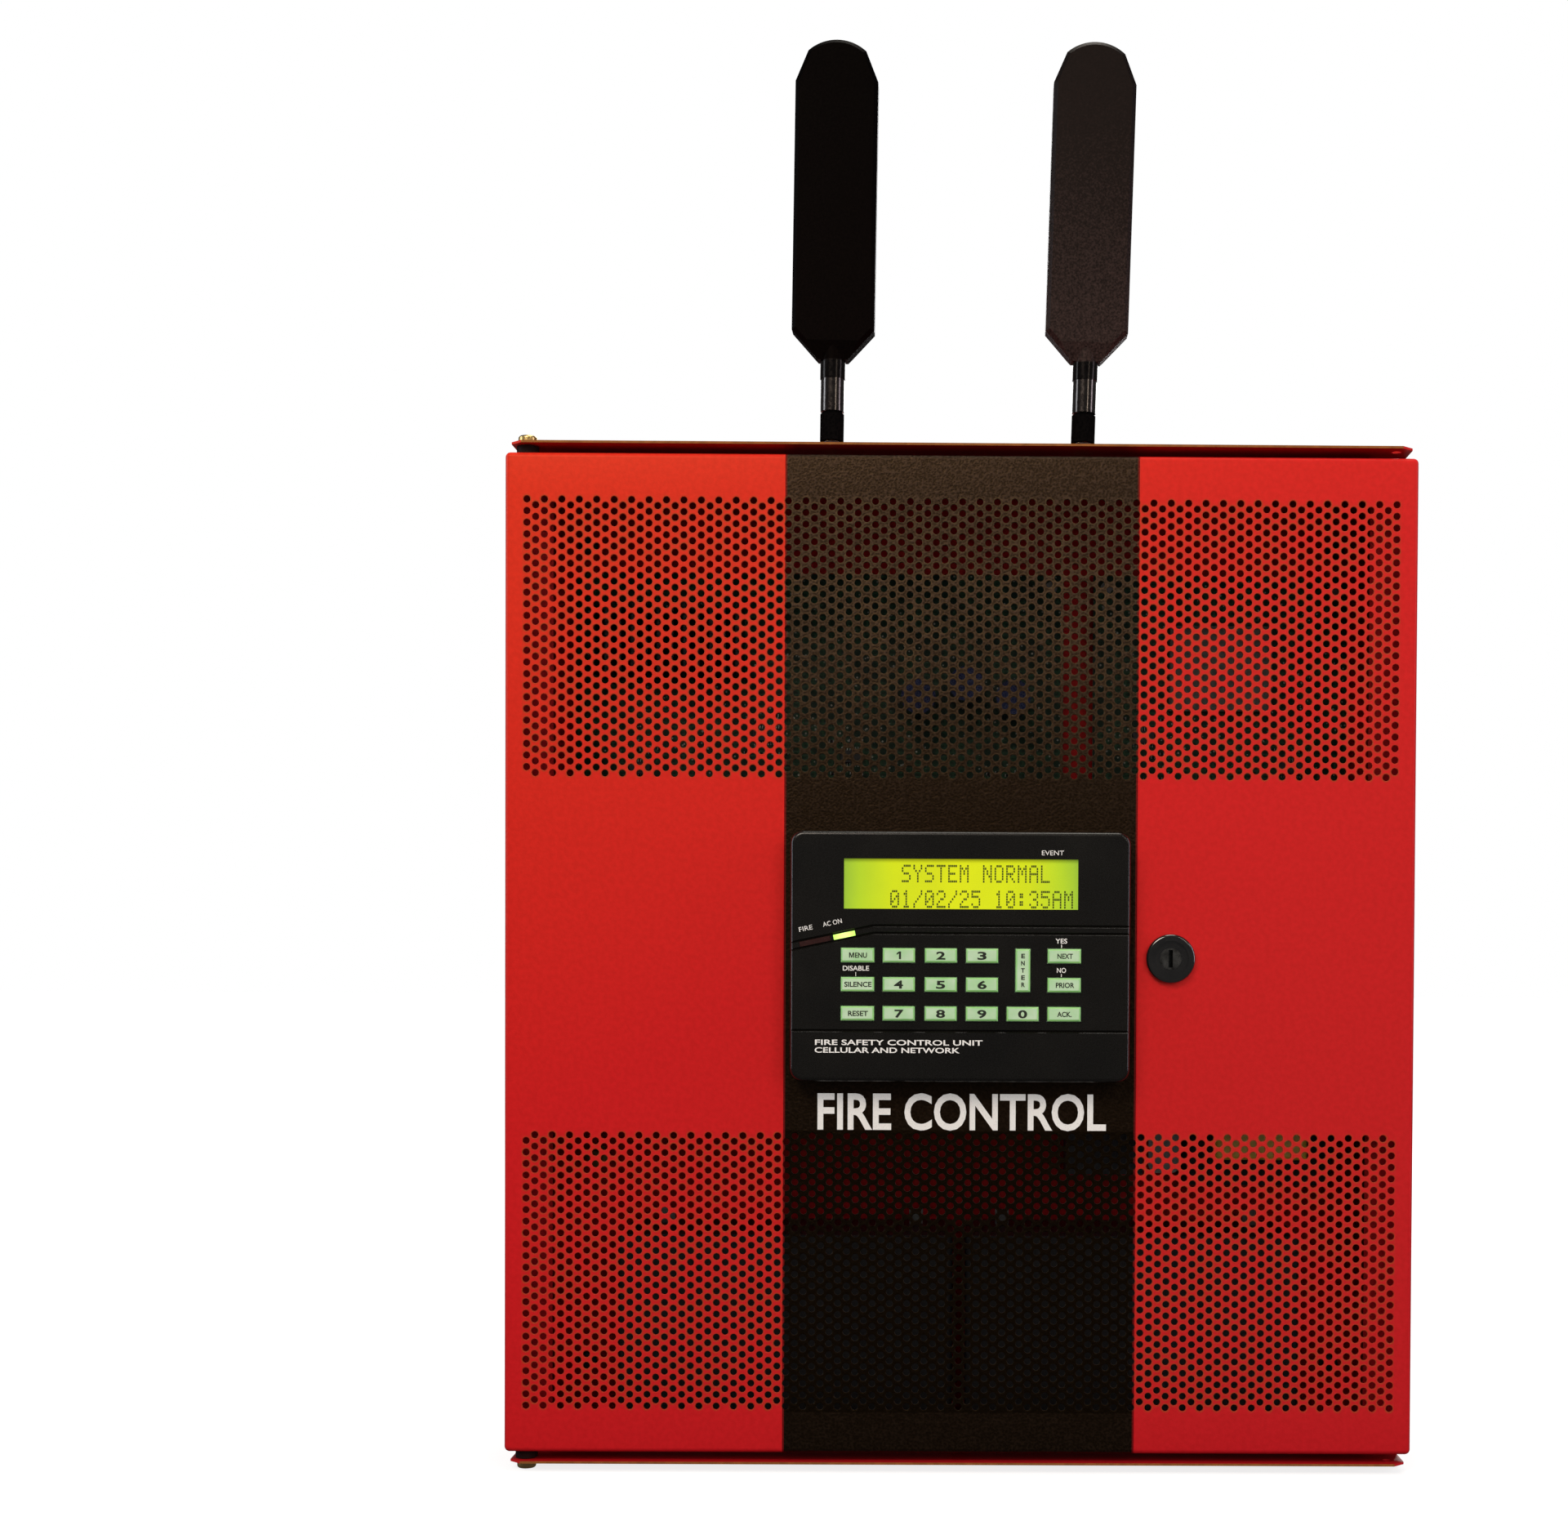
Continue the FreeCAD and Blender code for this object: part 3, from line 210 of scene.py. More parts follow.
def red_coat():
    """The cabinet's finish: red with painted shade inside the box, and a painted brownish highlight along the
    cut front edges of the top and bottom walls."""
    look = Look("red_coat", Roughness=0.42, Specular_IOR_Level=0.22, Specular_Tint=WARM_GLOSS)
    front = CABINET_LOW.y
    # painted highlight along the cut front edges of the top and bottom walls
    edge = look.span(look.axis("Y"), front + 0.25 * MM, front + 0.05 * MM)
    edge_highlight = look.ramp(look.noise(3 * MM, 3.0), [(0.35, scaled(CUT_EDGE_HIGHLIGHT, 0.7)), (0.65, CUT_EDGE_HIGHLIGHT)])
    # painted shade inside the box, from a little behind its front
    inside = look.math("MULTIPLY", look.span(look.axis("Y"), -WALL / 2, -WALL / 2 - 0.1 * MM),
                       look.span(look.axis("Y"), front + 4 * MM, front + 14 * MM))
    for axis, reach in (("X", CABINET_HIGH.x), ("Z", CABINET_HIGH.z)):
        place = look.math("ABSOLUTE", look.axis(axis))
        within = look.span(place, reach - WALL / 2, reach - WALL / 2 - 0.1 * MM)
        inside = look.math("MULTIPLY", inside, within)
    red = look.mix(inside, red_colour(look), INSIDE_SHADE_RED)
    look.set(Base_Color=look.mix(edge, red, edge_highlight))
    look.set(Normal=look.bump(look.noise(0.9 * MM, 2.0), 0.05 * MM, 0.5))
    return look.material


def rim_distance(look):
    """How far a point of the door is from the middle of the nearest punched hole. Even columns start at
    the field's first row, odd ones half a pitch lower."""
    along = look.math("PINGPONG", look.axis("X"), PITCH_X)
    height = look.math("ABSOLUTE", look.axis("Z"))
    reach = []
    for across, first in ((along, FIELD_HIGH - PITCH_Z / 2),
                          (look.math("SUBTRACT", PITCH_X, along), FIELD_HIGH - PITCH_Z)):
        last = first - (HOLE_ROWS - 1) * PITCH_Z
        below = look.math("SUBTRACT", first, height)
        inside = look.math("PINGPONG", below, PITCH_Z / 2)
        beyond = look.math("MAXIMUM", look.math("SUBTRACT", height, first),
                           look.math("SUBTRACT", last, height))
        up = look.math("MAXIMUM", inside, beyond)
        square = look.math("ADD", look.math("MULTIPLY", across, across), look.math("MULTIPLY", up, up))
        reach.append(look.math("SQRT", square))
    return look.math("MINIMUM", *reach)


def door_coat(punched):
    """The door's finish: red at both sides and wrinkled black in the stripe, where the red coat ends in a
    raised edge with a painted shadow line. The black carries a painted sheen, strongest at the top. Around
    punched holes the coat is painted brownish, as painted shade on the red and a painted golden highlight on
    the black, and the hole walls are painted darker inward."""
    look = Look("door_field_coat" if punched else "door_coat", Specular_IOR_Level=0.22,
                Specular_Tint=WARM_GLOSS)
    across = look.math("ABSOLUTE", look.axis("X"))
    stripe = look.span(across, STRIPE_HALF_WIDTH + COAT_EDGE, STRIPE_HALF_WIDTH + COAT_EDGE - 0.1 * MM)
    wrinkle = look.math("ADD", look.cells(0.95 * MM, "SMOOTH_F1"),
                        look.math("MULTIPLY", look.noise(0.5 * MM), 0.6))
    shine = FIELD_SHINE if punched else STRIPE_SHINE
    painted_sheen = look.ramp(look.span(look.axis("Z"), DOOR_LOW.z, DOOR_HIGH.z), shine)
    # the wrinkle's peaks are painted lighter: painted highlights, faded by the painted sheen towards the foot
    peaks = look.ramp(wrinkle, [(0.30, scaled(STRIPE_BLACK, 0.4)), (0.62, STRIPE_BLACK),
                                (0.95, scaled(STRIPE_BLACK, 3.4))])
    black = look.mix(look.math("SUBTRACT", 1.0, painted_sheen), peaks, (0.0, 0.0, 0.0))
    # a painted shadow line where the raised red coat ends
    edge_line = look.span(across, STRIPE_HALF_WIDTH, STRIPE_HALF_WIDTH + 0.15 * MM)
    black = look.mix(edge_line, black, RED_SHADE)
    red = red_colour(look)
    if punched:
        distance = rim_distance(look)
        # round each hole: painted shade on the red, and on the black a painted golden highlight that the
        # painted sheen scales
        rim_shade_and_glint = look.span(distance, HOLE_RADIUS + 0.85 * MM, HOLE_RADIUS + 0.1 * MM, 0.0, 1.0)
        rim_shade_and_glint = look.math("MULTIPLY", rim_shade_and_glint, look.span(look.noise(7 * MM, 1.0), 0.35, 0.65, 0.35, 1.0))
        red = look.mix(look.math("MULTIPLY", rim_shade_and_glint, 0.75), red, (0.235, 0.045, 0.013))
        black = look.mix(look.math("MULTIPLY", rim_shade_and_glint, painted_sheen), black, (0.055, 0.034, 0.016))
        # painted shade down the hole walls
        inside = look.span(look.axis("Y"), DOOR_FRONT + 0.1 * MM, DOOR_FRONT + RIM * 1.5)
        red = look.mix(inside, red, scaled(RED, 0.45))
    look.set(Base_Color=look.mix(stripe, red, black))
    look.set(Roughness=look.span(stripe, 0.0, 1.0, 0.42, 0.40))
    step = look.span(across, STRIPE_HALF_WIDTH + 0.5 * MM, STRIPE_HALF_WIDTH + 1.2 * MM)
    texture = look.mix(stripe, look.noise(0.9 * MM, 2.0), wrinkle)
    grain = look.math("MULTIPLY", texture, look.span(stripe, 0.0, 1.0, 0.22, 1.0))
    look.set(Normal=look.bump(step, 0.25 * MM, 1.0, look.bump(grain, 0.22 * MM, 0.75)))
    return look.material


def keypad_plastic():
    """The keypad housing: near-black plastic with a fine grain and a soft shine."""
    look = Look("black_gloss_plastic", Specular_IOR_Level=0.35, Coat_Weight=0.15, Coat_Roughness=0.1)
    look.set(Base_Color=varied(look, (0.0034, 0.0030, 0.0023), (0.0024, 0.0022, 0.0018),
                               (0.0048, 0.0043, 0.0033), 30 * MM))
    fine = look.noise(0.35 * MM)
    look.set(Roughness=look.span(fine, 0.3, 0.7, 0.24, 0.34), Normal=look.bump(fine, 0.012 * MM, 0.5))
    return look.material


def key_plastic():
    """Translucent pale green caps, lit from behind. They are greener at their sides, and their glow is dimmed
    to a painted shade where they are behind the keypad's front."""
    look = Look("key_green", Roughness=0.42, Specular_IOR_Level=0.4, Subsurface_Weight=0.08)
    facing = look.node("ShaderNodeSeparateXYZ",
                       {"Vector": look.node("ShaderNodeTexCoord").outputs["Normal"]}).outputs["Y"]
    side = look.span(look.math("ABSOLUTE", facing), 0.97, 0.55)
    top = varied(look, (0.34, 0.43, 0.30), (0.28, 0.42, 0.24), (0.40, 0.46, 0.36), 9 * MM)
    look.set(Base_Color=look.mix(side, top, (0.10, 0.32, 0.04)))
    glow = look.ramp(look.noise(12 * MM), [(0.35, (0.04, 0.14, 0.02)), (0.65, (0.12, 0.26, 0.05))])
    look.set(Emission_Color=look.mix(side, look.mix(1.0, top, (0.22, 0.36, 0.20), "MULTIPLY"), glow))
    # painted shade: the glow fades where a key sits behind the keypad's front
    behind, before = KEYPAD_FRONT + 0.8 * MM, KEYPAD_FRONT - 0.3 * MM
    look.set(Emission_Strength=look.span(look.axis("Y"), behind, before, 0.06, 1.0))
    look.set(Normal=look.bump(look.noise(0.4 * MM), 0.01 * MM, 0.5))
    return look.material


def display_glow():
    """The display's backlight: yellow in the middle, greener and dimmer at both ends, with a painted shadow
    along the top edge of its window.
    """
    low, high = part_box("lcd_window")
    look = Look("display_backlight", Roughness=0.5, Specular_IOR_Level=0.0)
    middle, half = (low.x + high.x) / 2, (high.x - low.x) / 2
    across = look.math("ABSOLUTE", look.math("SUBTRACT", look.axis("X"), middle))
    spread = look.math("ADD", across, look.math("MULTIPLY", look.noise(25 * MM, 1.0), 6 * MM))
    colour = look.ramp(look.span(spread, 0.0, half + 3 * MM),
                       [(0.0, (0.77, 0.79, 0.012)), (0.6, (0.70, 0.78, 0.014)), (0.88, (0.47, 0.67, 0.03)),
                        (1.0, (0.33, 0.54, 0.045))])
    # painted shadow: the glow is dimmed along the top edge, under the window's rim
    edge = look.span(look.axis("Z"), high.z + 0.2 * MM, high.z - 1.6 * MM, 0.35, 1.0)
    look.set(Base_Color=(0.07, 0.09, 0.004), Emission_Color=colour, Emission_Strength=edge)
    return look.material


def lens_look(name, dark, glow, strength):
    """A light bar's plastic. One that is lit glows most in its middle."""
    low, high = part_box("power_light_pipe")
    look = Look(name, Roughness=0.18, Specular_IOR_Level=0.5)
    streak = look.noise(1.6 * MM, 2.0, (1.0, 1.0, 3.0))
    look.set(Base_Color=look.ramp(streak, [(0.3, dark), (0.7, scaled(dark, 1.4))]))
    if strength:
        across = look.math("ABSOLUTE", look.math("SUBTRACT", look.axis("X"), (low.x + high.x) / 2))
        fade = look.span(across, (high.x - low.x) / 2, 0.0, 0.35, 1.0)
        look.set(Emission_Color=look.mix(fade, (0.25, 0.70, 0.03), glow), Emission_Strength=strength)
    return look.material


def window_glass():
    """A thin clear window: mostly see-through, with a faint green-yellow stain and a polished face."""
    look = Look("window_clear", Specular_IOR_Level=0.5, Roughness=0.04)
    stain = look.noise(14 * MM)
    look.set(Base_Color=look.ramp(stain, [(0.35, (0.05, 0.07, 0.01)), (0.65, (0.07, 0.09, 0.02))]))
    look.set(Alpha=look.span(stain, 0.3, 0.7, 0.05, 0.08))
    return look.material


def lock_enamel():
    """The lock's bezel: polished black enamel, mottled a little."""
    look = Look("black_lock_enamel", Specular_IOR_Level=0.6, Coat_Weight=1.0, Coat_Roughness=0.03)
    look.set(Base_Color=varied(look, (0.0055, 0.0052, 0.005), (0.004, 0.004, 0.004),
                               (0.008, 0.0075, 0.007), 6 * MM))
    fine = look.noise(0.8 * MM)
    look.set(Roughness=look.span(fine, 0.3, 0.7, 0.12, 0.2), Normal=look.bump(fine, 0.02 * MM, 0.5))
    return look.material


def metal(name, colour, roughness, stretch=(1.0, 1.0, 1.0), tint=None):
    """A metal with a directional brush or tumble pattern and a slow tarnish."""
    look = Look(name, Metallic=1.0)
    tarnish = tint or scaled(colour, 0.82)
    look.set(Base_Color=look.ramp(look.noise(5 * MM, 4.0), [(0.35, tarnish), (0.65, colour)]))
    brush = look.noise(0.5 * MM, 3.0, stretch)
    look.set(Roughness=look.span(brush, 0.3, 0.7, roughness * 0.75, min(1.0, roughness * 1.25)))
    look.set(Normal=look.bump(brush, 0.015 * MM, 0.6))
    return look.material


# how far above the paddle node's foot its flat blade starts, and how far up its sleeve's gloss is banded
BLADE_RISE, GLOSS_REACH = 27 * MM, 40 * MM


def antenna_black(name="antenna_black", head=0.35, foot=1.0):
    """Moulded black plastic: glossy and mottled on the sleeves, finely grained on the paddle, where a painted
    sheen lightens the grain. head and foot are how strong that painted sheen is at the paddle's two ends."""
    low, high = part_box("antenna_right_paddle")
    blade_start, blade_end = low.z + BLADE_RISE, high.z
    look = Look(name, Specular_Tint=(1.0, 0.86, 0.80))
    up = look.axis("Z")
    blade = look.span(up, blade_start, blade_start + MM)
    mottle = look.math("ADD", look.cells(1.1 * MM, "SMOOTH_F1"),
                       look.math("MULTIPLY", look.noise(0.5 * MM), 0.7))
    sleeve = look.ramp(mottle, [(0.3, (0.0008, 0.0008, 0.0010)), (0.9, (0.003, 0.0028, 0.0028))])
    # painted sheen on the paddle, from head at its top to foot at its foot
    grain = look.math("MULTIPLY", look.noise(0.9 * MM, 3.0),
                      look.span(up, blade_end, blade_start, head, foot))
    paddle = look.ramp(grain, [(0.0, (0.0003, 0.0002, 0.0002)), (0.30, (0.005, 0.0027, 0.0023)),
                               (0.70, (0.032, 0.0185, 0.0160))])
    look.set(Base_Color=look.mix(blade, sleeve, paddle))
    gloss = look.ramp(look.span(up, low.z, low.z + GLOSS_REACH),
                      [(0.0, 0.0), (0.13, 0.8), (0.49, 0.12)], "CONSTANT")
    look.set(Specular_IOR_Level=look.math("ADD", look.math("MULTIPLY", gloss, look.span(blade, 1.0, 0.0)),
                                          look.span(blade, 0.0, 1.0, 0.0, 0.10 * foot)))
    look.set(Roughness=look.math("ADD", look.span(mottle, 0.3, 1.0, 0.10, 0.20),
                                 look.math("MULTIPLY", blade, 0.3)))
    look.set(Normal=look.bump(mottle, look.span(blade, 0.0, 1.0, 0.014 * MM, 0.03 * MM), 0.6))
    return look.material


def circuit_laminate():
    """Green solder mask over copper tracks, with tinned pads on a grid."""
    look = Look("circuit_laminate", Specular_IOR_Level=0.5, Roughness=0.32)
    turned = look.node("ShaderNodeMapping", {"Vector": look.place, "Rotation": (math.pi / 2, 0.0, 0.0)})
    tracks = look.node("ShaderNodeTexBrick",
                       {"Vector": turned.outputs["Vector"], "Scale": 130.0, "Mortar Size": 0.055,
                        "Mortar Smooth": 0.2, "Bias": -0.2, "Color1": (0.0,) * 3, "Color2": (0.25,) * 3,
                        "Mortar": (1.0,) * 3}, offset=0.37, squash=0.6).outputs["Color"]
    wander = look.ramp(look.noise(14 * MM, 1.0), [(0.46, 0.0), (0.52, 1.0)])
    shown = look.mix(1.0, tracks, wander, "MULTIPLY")
    mask = look.mix(shown, (0.0025, 0.013, 0.006), (0.008, 0.036, 0.013))
    pads = look.ramp(look.cells(3.1 * MM), [(0.14, 1.0), (0.17, 0.0)])
    look.set(Base_Color=look.mix(pads, mask, (0.40, 0.38, 0.33)))
    look.set(Metallic=look.mix(pads, (0.0, 0.0, 0.0), (0.9, 0.9, 0.9)))
    look.set(Normal=look.bump(shown, 0.05 * MM, 0.5))
    return look.material


def winding_tape():
    """Yellow tape in glossy wraps."""
    look = Look("winding_tape", Specular_IOR_Level=0.5)
    wraps = look.node("ShaderNodeTexWave", {"Vector": look.place, "Scale": 60.0, "Distortion": 0.6},
                      bands_direction="Y").outputs["Fac"]
    look.set(Base_Color=look.ramp(wraps, [(0.1, (0.42, 0.25, 0.02)), (0.6, (0.62, 0.42, 0.05))]))
    look.set(Roughness=look.span(wraps, 0.0, 1.0, 0.22, 0.35), Normal=look.bump(wraps, 0.15 * MM, 0.6))
    return look.material


def core_steel():
    """Varnished laminations, seen as fine lines along the stack."""
    look = Look("core_steel", Metallic=0.6)
    sheets = look.node("ShaderNodeTexWave", {"Vector": look.place, "Scale": 320.0, "Distortion": 0.3},
                       bands_direction="Y").outputs["Fac"]
    look.set(Base_Color=look.ramp(sheets, [(0.2, (0.025, 0.024, 0.024)), (0.7, (0.075, 0.072, 0.07))]))
    look.set(Roughness=look.span(look.noise(4 * MM), 0.3, 0.7, 0.4, 0.6),
             Normal=look.bump(sheets, 0.1 * MM, 0.6))
    return look.material


def capacitor_sleeve():
    """Dark blue shrink sleeve."""
    look = Look("capacitor_sleeve", Specular_IOR_Level=0.5, Coat_Weight=0.4, Coat_Roughness=0.1)
    angle = look.noise(18 * MM, 0.0)
    look.set(Base_Color=look.ramp(angle, [(0.48, (0.008, 0.012, 0.045)), (0.52, (0.012, 0.018, 0.06))]))
    fine = look.noise(0.7 * MM)
    look.set(Roughness=look.span(fine, 0.3, 0.7, 0.22, 0.34), Normal=look.bump(fine, 0.01 * MM, 0.5))
    return look.material


def print_look(name, colour):
    """Screen-printed ink: a nearly even colour with tiny pinholes and a matt face."""
    look = Look(name, Specular_IOR_Level=0.3)
    look.set(Base_Color=look.ramp(look.noise(0.35 * MM, 3.0), [(0.28, scaled(colour, 0.7)), (0.42, colour)]))
    look.set(Roughness=look.span(look.noise(1 * MM), 0.3, 0.7, 0.45, 0.65))
    return look.material


LOOKS = {
    "red_coat": red_coat(),
    "yellow_zinc": metal("yellow_zinc", (0.60, 0.44, 0.17), 0.34, tint=(0.46, 0.30, 0.13)),
    # painted shade: the nylon bushings are given a dark red-brown, for they sit in the shaded gaps above and
    # below the door
    "nylon": plain_look("nylon", (0.010, 0.004, 0.0035), 0.7, Specular_IOR_Level=0.08),
    "black_gloss_plastic": keypad_plastic(),
    "black_matte_plastic": plain_look("black_matte_plastic", (0.02, 0.02, 0.021), 0.6),
    "window_clear": window_glass(),
    "display_backlight": display_glow(),
    "circuit_laminate": circuit_laminate(),
    "key_rubber": plain_look("key_rubber", (0.10, 0.16, 0.08), 0.7),
    "red_lens": lens_look("red_lens", (0.020, 0.006, 0.005), None, 0.0),
    "green_lens": lens_look("green_lens", (0.10, 0.20, 0.02), (0.72, 0.98, 0.25), 1.5),
    "zinc_steel": metal("zinc_steel", (0.60, 0.61, 0.60), 0.35, (1.0, 1.0, 6.0)),
    "black_lock_enamel": lock_enamel(),
    "nickel_plug": metal("nickel_plug", (0.26, 0.26, 0.25), 0.3, tint=(0.06, 0.06, 0.056)),
    "antenna_black": antenna_black(),
    "connector_brass": metal("connector_brass", (0.72, 0.54, 0.24), 0.28, (1.0, 1.0, 8.0)),
    "connector_black": plain_look("connector_black", (0.02, 0.014, 0.02), 0.35, Metallic=0.7),
    "terminal_green": plain_look("terminal_green", (0.02, 0.22, 0.07), 0.48),
    "capacitor_sleeve": capacitor_sleeve(),
    "heat_sink_aluminium": metal("heat_sink_aluminium", (0.045, 0.044, 0.045), 0.42, (1.0, 9.0, 1.0)),
    "shield_tin": metal("shield_tin", (0.30, 0.29, 0.28), 0.34, (7.0, 1.0, 1.0)),
    "core_steel": core_steel(),
    "winding_tape": winding_tape(),
    "cover_plastic": plain_look("cover_plastic", (0.030, 0.030, 0.032), 0.5),
    "battery_case": plain_look("battery_case", (0.010, 0.010, 0.011), 0.5, 0.8 * MM, 0.05 * MM),
    "key_green": key_plastic(),
}
# the left paddle gets a shaded copy: almost no painted sheen and less shine
ANTENNA_LEFT = antenna_black("antenna_black_shaded", 0.03, 0.16)
WHITE_INK = print_look("white_ink", (0.74, 0.73, 0.70))
DARK_INK = print_look("dark_ink", (0.014, 0.018, 0.012))
CHARACTER_DARK = print_look("display_dark", (0.055, 0.075, 0.004))

for node in NODES.values():
    for slot in node.material_slots:
        slot.material = LOOKS[slot.material.name.split(".")[0]]
NODES["antenna_left_paddle"].material_slots[0].material = ANTENNA_LEFT


def softened(name, width):
    """Breaks a moulded part's sharp edges, so that they catch the light."""
    bevel = NODES[name].modifiers.new("softened", "BEVEL")
    bevel.width, bevel.segments = width, 2
    bevel.limit_method, bevel.angle_limit = "ANGLE", math.radians(40)
    bevel.harden_normals = True


softened("keypad_front_housing", 0.22 * MM)
for name in NODES:
    if name.startswith("key_") and name != "key_membrane":
        softened(name, 0.25 * MM)


# -------- mesh helpers
def finished(name, mesh, look, body, smooth_below=None):
    """Links a mesh as a piece that rides on a body, with the given look as its finish."""
    mesh.materials.clear()
    mesh.materials.append(look)
    piece = bpy.data.objects.new(name, mesh)
    bpy.context.scene.collection.objects.link(piece)
    if smooth_below is not None:
        mesh.shade_smooth()
        mesh.set_sharp_from_angle(angle=math.radians(smooth_below))
    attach(piece, body)
    return piece


SAME_PLACE = 0.0001 * MM


def mesh_of(name, vertices, faces, tidy=False):
    """A closed mesh from points in metres, faces outwards. tidy joins the points that share a place."""
    mesh = bpy.data.meshes.new(name)
    mesh.from_pydata(vertices, [], faces)
    work = bmesh.new()
    work.from_mesh(mesh)
    if tidy:
        bmesh.ops.remove_doubles(work, verts=work.verts, dist=SAME_PLACE)
    bmesh.ops.recalc_face_normals(work, faces=work.faces)
    work.to_mesh(mesh)
    work.free()
    return mesh


def bridge(faces, first, count, rings):
    """Adds the quads between rings of `count` points each, which follow one another from `first` on."""
    for start in range(first, first + (rings - 1) * count, count):
        for k in range(count):
            a, b = start + k, start + (k + 1) % count
            faces.append((a, b, b + count, a + count))


def add_solid(points, faces, rings):
    """Adds a closed solid: rings with as many points each, joined in a row, and a cap at both ends."""
    first, count = len(points), len(rings[0])
    for ring in rings:
        points.extend(ring)
    faces.append(tuple(range(first, first + count)))
    bridge(faces, first, count, len(rings))
    faces.append(tuple(range(len(points) - 1, len(points) - count - 1, -1)))


def circle(x, z, radius, sides):
    """The x and z of points round a circle."""
    turns = [2 * math.pi * k / sides for k in range(sides)]
    return [(x + radius * math.cos(turn), z + radius * math.sin(turn)) for turn in turns]


# -------- the perforated door
SHEET = 1.2 * MM
BEND, BEND_STEPS, CORNER_STEPS = 2.2 * MM, 8, 6
PITCH_X, PITCH_Z = 3.75 * MM, 5.0 * MM
HALF_COLUMNS, STRIPE_COLUMNS = 50, 20
HOLE_ROWS = 24
FIELD_HALF = (HALF_COLUMNS + 0.5) * PITCH_X
FIELD_LOW, FIELD_HIGH = 75.7 * MM, 198.2 * MM
HOLE_RADIUS = 1.5 * MM
RIM = 0.2 * MM
HOLE_SIDES = 12
LOCK_HOLE_RADIUS = 9.4 * MM
SCREW_HEAD_RADIUS, SCREW_HOLE_RADIUS = 3.0 * MM, 1.8 * MM
BUSHING_RADIUS = 3.6 * MM
FACE_DRILL, FLANGE_DRILL, DRILL_SIDES = 6 * MM, 8 * MM, 48
# half the size of the cut-out behind the keypad
WIRING_HALF_WIDTH, WIRING_HALF_HEIGHT = 30 * MM, 20 * MM
DOOR_COAT, FIELD_COAT = door_coat(False), door_coat(True)


def perforated_sheet(name, columns, sign):
    """A closed piece of the door's sheet: one cell per hole, with a rounded rim where the punch went in.
    sign is 1 for the upper field and -1 for the lower."""
    low, high = sorted((sign * FIELD_LOW, sign * FIELD_HIGH))
    points, faces, corners, border = [], [], {}, {}

    def corner(x, z):
        key = (round(x / (0.01 * MM)), round(z / (0.01 * MM)))
        if key not in corners:
            corners[key] = len(points)
            points.extend([(x, DOOR_FRONT, z), (x, DOOR_FRONT + SHEET, z)])
        return corners[key]

    def outline(ring):
        for a, b in zip(ring, ring[1:] + ring[:1]):
            if (b, a) in border:
                del border[(b, a)]
            else:
                border[(a, b)] = True
        return ring

    def cell(x, z):
        half_x, half_z = PITCH_X / 2, PITCH_Z / 2
        ring = outline([corner(x + sx * half_x, z + sz * half_z)
                        for sx, sz in ((1, 0), (1, 1), (-1, 1), (-1, 0), (-1, -1), (1, -1))])
        first = len(points)
        for radius, depth in ((HOLE_RADIUS + RIM, 0.0), (HOLE_RADIUS, RIM), (HOLE_RADIUS, SHEET)):
            points.extend([(px, DOOR_FRONT + depth, pz) for px, pz in circle(x, z, radius, HOLE_SIDES)])
        bridge(faces, first, HOLE_SIDES, 3)
        for side in range(6):
            a, b = ring[side], ring[(side + 1) % 6]
            arc = [first + (2 * side + k) % HOLE_SIDES for k in (2, 1, 0)]
            faces.append((a, b, *arc))
            faces.append((b + 1, a + 1, *[k + 2 * HOLE_SIDES for k in reversed(arc)]))

    def plain(x, bottom, top):
        left, right = x - PITCH_X / 2, x + PITCH_X / 2
        ring = outline([corner(left, bottom), corner(right, bottom), corner(right, top), corner(left, top)])
        faces.append(tuple(ring))
        faces.append(tuple(k + 1 for k in reversed(ring)))

    for column in columns:
        x = column * PITCH_X
        offset = column % 2 * PITCH_Z / 2
        heights = [sign * (FIELD_HIGH - PITCH_Z / 2 - offset - row * PITCH_Z) for row in range(HOLE_ROWS)]
        for z in heights:
            cell(x, z)
        bottom, top = min(heights) - PITCH_Z / 2, max(heights) + PITCH_Z / 2
        if bottom - low > MM:
            plain(x, low, bottom)
        if high - top > MM:
            plain(x, top, high)
    for a, b in border:
        faces.append((a, b, b + 1, a + 1))
    return finished(name, mesh_of(name, points, faces), FIELD_COAT, "door")


def middle_of(name):
    low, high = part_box(name)
    return (low + high) / 2


def drilled(mesh, holes):
    """The mesh with round holes through it. A hole is its middle, its axis, its radius and its length."""
    work = bmesh.new()
    for centre, axis, radius, length in holes:
        turn = Vector((0, 0, 1)).rotation_difference(axis).to_matrix().to_4x4()
        bmesh.ops.create_cone(work, cap_ends=True, segments=DRILL_SIDES, radius1=radius, radius2=radius,
                              depth=length, matrix=Matrix.Translation(centre) @ turn)
    tool_mesh = bpy.data.meshes.new(mesh.name + "_tools")
    work.to_mesh(tool_mesh)
    work.free()
    tools = bpy.data.objects.new(mesh.name + "_tools", tool_mesh)
    blank = bpy.data.objects.new(mesh.name + "_blank", mesh)
    for item in (tools, blank):
        bpy.context.scene.collection.objects.link(item)
    cut = blank.modifiers.new("holes", "BOOLEAN")
    cut.operation, cut.solver, cut.object = "DIFFERENCE", "EXACT", tools
    bpy.context.view_layer.update()
    result = bpy.data.meshes.new_from_object(blank.evaluated_get(bpy.context.evaluated_depsgraph_get()))
    result.name = mesh.name + "_drilled"
    for item in (tools, blank):
        bpy.data.objects.remove(item)
    return result


